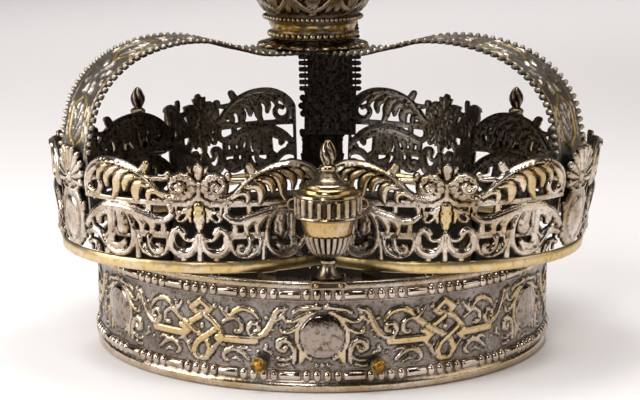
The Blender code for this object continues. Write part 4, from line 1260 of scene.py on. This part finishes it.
def makeSmallCrown():
    sides, rows, tall, bosses = top["crownSides"], top["crownRows"], top["crownTall"], top["bosses"]
    bayTurn = 2 * pi / top["crownLeaves"]
    bayWide = bayTurn * top["crownMiddle"]
    t, v = np.meshgrid(np.arange(sides) * 2 * pi / sides, np.linspace(0, tall, rows), indexing="ij")
    local = ((t / bayTurn + 0.5) % 1 - 0.5) * bayWide
    _, rise, gilt = drawRelief(local, v, crownDrawing())
    band = v < top["bandTall"]    # plain below, but for its bosses and pearls
    rise, gilt = np.where(band, 0, rise), np.where(band, 0.12, 0.6 * gilt)
    # each bay of the crest rises to a leaf, with a notch between
    phase = np.abs(local) / (bayWide / 2)
    crest = tall - top["notch"] * phase ** 1.5 - 0.8 * (1 - np.cos(phase * 6 * pi)) / 2
    low = tall - top["crestTall"]
    up = np.where(v > low, low + (v - low) * (crest - low) / top["crestTall"], v)
    fall = ((v - top["bossHeight"]) / 1.5) ** 2
    oval = np.sin(bosses * t / 2) ** 2 + fall < 1
    rise = rise + 0.45 * np.sqrt(np.clip(1 - fall, 0, 1)) * np.abs(np.cos(bosses * t / 2)) * oval
    gilt = np.where(oval, 0.8, gilt)
    hollow = hollowOf(np.vstack([rise] * 3), 3)[sides:2 * sides]
    # the pearls lie in two channels
    channel = np.maximum(np.exp(-((v - 1.5) / 1.3) ** 2), np.exp(-((v - 9.3) / 1.2) ** 2))
    hollow = np.clip(hollow - np.where(band, 0.36, 0.04) + 0.55 * channel, 0, 1)
    radius = crownRadius(up)
    layers = []
    for r, z in ((radius + rise * 0.9, up), (radius - top["crownThick"], np.maximum(up - 0.2, 0))):
        layers.append(around(t, r, z + top["crownFoot"]).reshape(-1, 3) * mm)
    index, count = np.arange(t.size).reshape(t.shape), t.size
    following = np.roll(index, -1, 0)
    quads = np.stack([index[:, :-1].ravel(), following[:, :-1].ravel(), following[:, 1:].ravel(),
                      index[:, 1:].ravel()], 1)
    walls = [np.stack([a, b, b + count, a + count], 1)
             for a, b in ((following[:, 0], index[:, 0]), (index[:, -1], following[:, -1]))]
    faces = np.vstack([quads, quads[:, ::-1] + count, *walls]).tolist()
    piece = meshPiece("smallCrown", np.vstack(layers) + topAxis, faces, 60)
    paint(piece, *(np.concatenate([field.ravel(), np.full(count, inner)])
                   for field, inner in ((gilt, 0.2), (hollow, 0.55))))
    piece = joined("smallCrown", [piece, beadRow(*top["lowBeads"]), beadRow(*top["highBeads"])])
    finish(piece, "small_crown", crownSilver)


def makeDome():
    f = top["domeFoot"]
    profile = [
        (0, f, 0, 0.6), (20, f + 1.1, 0, 0.6), (24.4, f + 1.6, 0.2, 0.2), (24.6, f + 3, 0.3, 0),
        (23.4, f + 6.6, 0.1, 0), (20.8, f + 11, 0.1, 0), (16.6, f + 15.2, 0.1, 0), (11, f + 18.4, 0.1, 0),
        (6.2, f + 20, 0.2, 0.2), (4.4, f + 20.8, 0.2, 0.5), (3.4, f + 22.2, 0.3, 0.6),
        (3.6, f + 23.4, 0.3, 0.2), (5.2, f + 24.2, 0.3, 0), (6.2, f + 26, 0.2, 0), (6.6, f + 28.6, 0.2, 0),
        (5.6, f + 31.8, 0.2, 0), (3.6, f + 34.6, 0.2, 0), (1.8, f + 37, 0.2, 0), (0, top["domeTop"], 0.2, 0)]

    def ribWave(turn, up):    # melon ribs on the dome, overlapping leaves on its bud
        rib = np.abs(np.cos(top["melonRibs"] * turn / 2))
        leaf = np.abs(np.cos(3 * turn + (up - 24) * 0.25))
        return np.where((up > 3.4) & (up < 19.6), rib, np.where(up > 24.4, leaf, 1))

    def lobed(turn, radius, height):
        return radius * (0.95 + 0.05 * ribWave(turn, height - f))
    piece = turnedPiece("crownDome", finer(profile, 1), 120, topAxis, lobed, 50)
    points = pointsOf(piece) - topAxis
    turn = np.arctan2(points[:, 0], -points[:, 1])
    groove = np.clip(0.7 - 3 * ribWave(turn, points[:, 2] / mm - f), 0, 0.7)
    setLayer(piece, "hollow", np.clip(layerOf(piece, "hollow") + groove, 0, 1))
    finish(piece, "crown_dome", crownSilver)


makeRosette()
makeSmallCrown()
makeDome()
print("crown top made")

bolt = {
    "height": 12.2, "turns": (12.7, 14.4, 14.4, 14.4, 14.4, 14.4),    # from the corner between two lobes
    "corner": 4.0, "thick": 1.9, "worn": 0.45, "nutOut": 3.8,    # the nut, out from the band's wall
    "end": 2.15, "endFlat": 0.62, "endOut": 4.6,    # the bolt's end
}


def makeBolts():
    start = polar(0, base["wall"], bolt["height"]) * mm + axis
    nut = primitive(bpy.ops.mesh.primitive_cylinder_add, start - (0, bolt["nutOut"] * mm, 0), vertices=6,
                    radius=bolt["corner"] * mm, depth=bolt["thick"] * mm, rotation=(pi / 2, 0, 0))
    rounded(nut, bolt["worn"] * mm, 3, 35)
    dress(nut, nutBrass)
    end = ball(start - (0, bolt["endOut"] * mm, 0), bolt["end"] * mm, 20, 12, (1, bolt["endFlat"], 1))
    dress(end, boltBrass)
    whole = joined("bolt", [nut, end])
    for number, ((lobe, side), turn) in enumerate(zip(lobeSides, bolt["turns"]), 1):
        piece = copyOf(whole, lobe + side * (60 - turn))
        piece.name = piece.data.name = f"bolt{number}"
        finish(piece, f"bolt_{number}")
        dress(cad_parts[f"bracket_{number}"], stripSilver)
    bpy.data.objects.remove(whole)
    print("bolts and brackets made")


makeBolts()

studio = {
    "paper": "#f3efee", "world": "#8a8078", "worldStrength": 0.12,
    "softboxes": {    # power, place, aim, size, spread and tint
        "overhead": (16.5, (0.0, -0.02, 1.3), (0, 0, 0.05), (1.15, 0.75), 180, "#ffffff"),
        "left": (14.0, (-1.15, -0.35, 0.65), (0, 0, 0.08), (1.0, 1.1), 180, "#ffffff"),
        "right": (3.4, (1.15, -0.3, 0.6), (0, 0, 0.08), (1.0, 1.0), 180, "#fff3e2"),
        "front": (4.2, (-0.35, -1.5, 0.8), (0, 0, 0.08), (0.3, 0.4), 180, "#ffffff"),
        "backdrop": (5.8, (0.5, 1.35, 1.1), (0.4, 1.75, 0.0), (2.4, 0.6), 110, "#ffffff"),
    },
    "lens": 116.0, "shift": -0.00375, "cameraOut": 0.945, "cameraUp": 0.2472, "lookDown": 11.03,
}


def makeBackdrop():    # paper that curves up behind
    floor = primitive(bpy.ops.mesh.primitive_plane_add, (0, 0.4, 0), (6, 2.8, 1), size=1.0)
    floor.name = "paperSweep"
    selectByPlace(floor, "EDGE", lambda edge: all(floor.data.vertices[k].co.y > 1.0 for k in edge.vertices))
    steps = 12
    bend = [(radians(90 * k / steps), 0.12) for k in range(1, steps + 1)]
    for tilt, far in bend + [(pi / 2, 2.4)]:
        step = (0, far * cos(tilt), far * sin(tilt))
        bpy.ops.mesh.extrude_region_move(TRANSFORM_OT_translate={"value": step})
    bpy.ops.object.mode_set(mode="OBJECT")
    smooth(floor, 60)
    paper = bpy.data.materials.new("backdrop paper, matt white")
    paper.use_nodes = True
    shader = paper.node_tree.nodes["Principled BSDF"]
    shader.inputs["Base Color"].default_value = colour(studio["paper"])
    shader.inputs["Roughness"].default_value = 0.9
    dress(floor, paper)


def makeLamps():
    world = bpy.data.worlds.new("studio")
    bpy.context.scene.world = world
    world.use_nodes = True
    back = world.node_tree.nodes["Background"]
    back.inputs["Color"].default_value = colour(studio["world"])
    back.inputs["Strength"].default_value = studio["worldStrength"]
    for name, (power, place, aim, size, spread, tint) in studio["softboxes"].items():
        lamp = bpy.data.lights.new(name, "AREA")
        lamp.color, lamp.spread, lamp.energy = colour(tint)[:3], radians(spread), power
        lamp.shape, lamp.size, lamp.size_y = "RECTANGLE", *size
        holder = bpy.data.objects.new(name, lamp)
        holder.location = place
        holder.rotation_euler = (Vector(aim) - Vector(place)).to_track_quat("-Z", "Y").to_euler()
        bpy.context.scene.collection.objects.link(holder)


def makeCamera():
    lens = bpy.data.cameras.new("camera")
    lens.lens, lens.sensor_width, lens.shift_x = studio["lens"], 36.0, studio["shift"]
    lens.clip_start, lens.clip_end = 0.01, 20
    camera = bpy.data.objects.new("camera", lens)
    camera.location = (axis[0], axis[1] - studio["cameraOut"], studio["cameraUp"])
    camera.rotation_euler = Euler((radians(90 - studio["lookDown"]), 0, 0))
    bpy.context.scene.collection.objects.link(camera)
    bpy.context.scene.camera = camera
    bpy.context.scene.view_settings.view_transform = "Standard"    # whites stay white


makeBackdrop()
makeLamps()
makeCamera()
print("studio made")
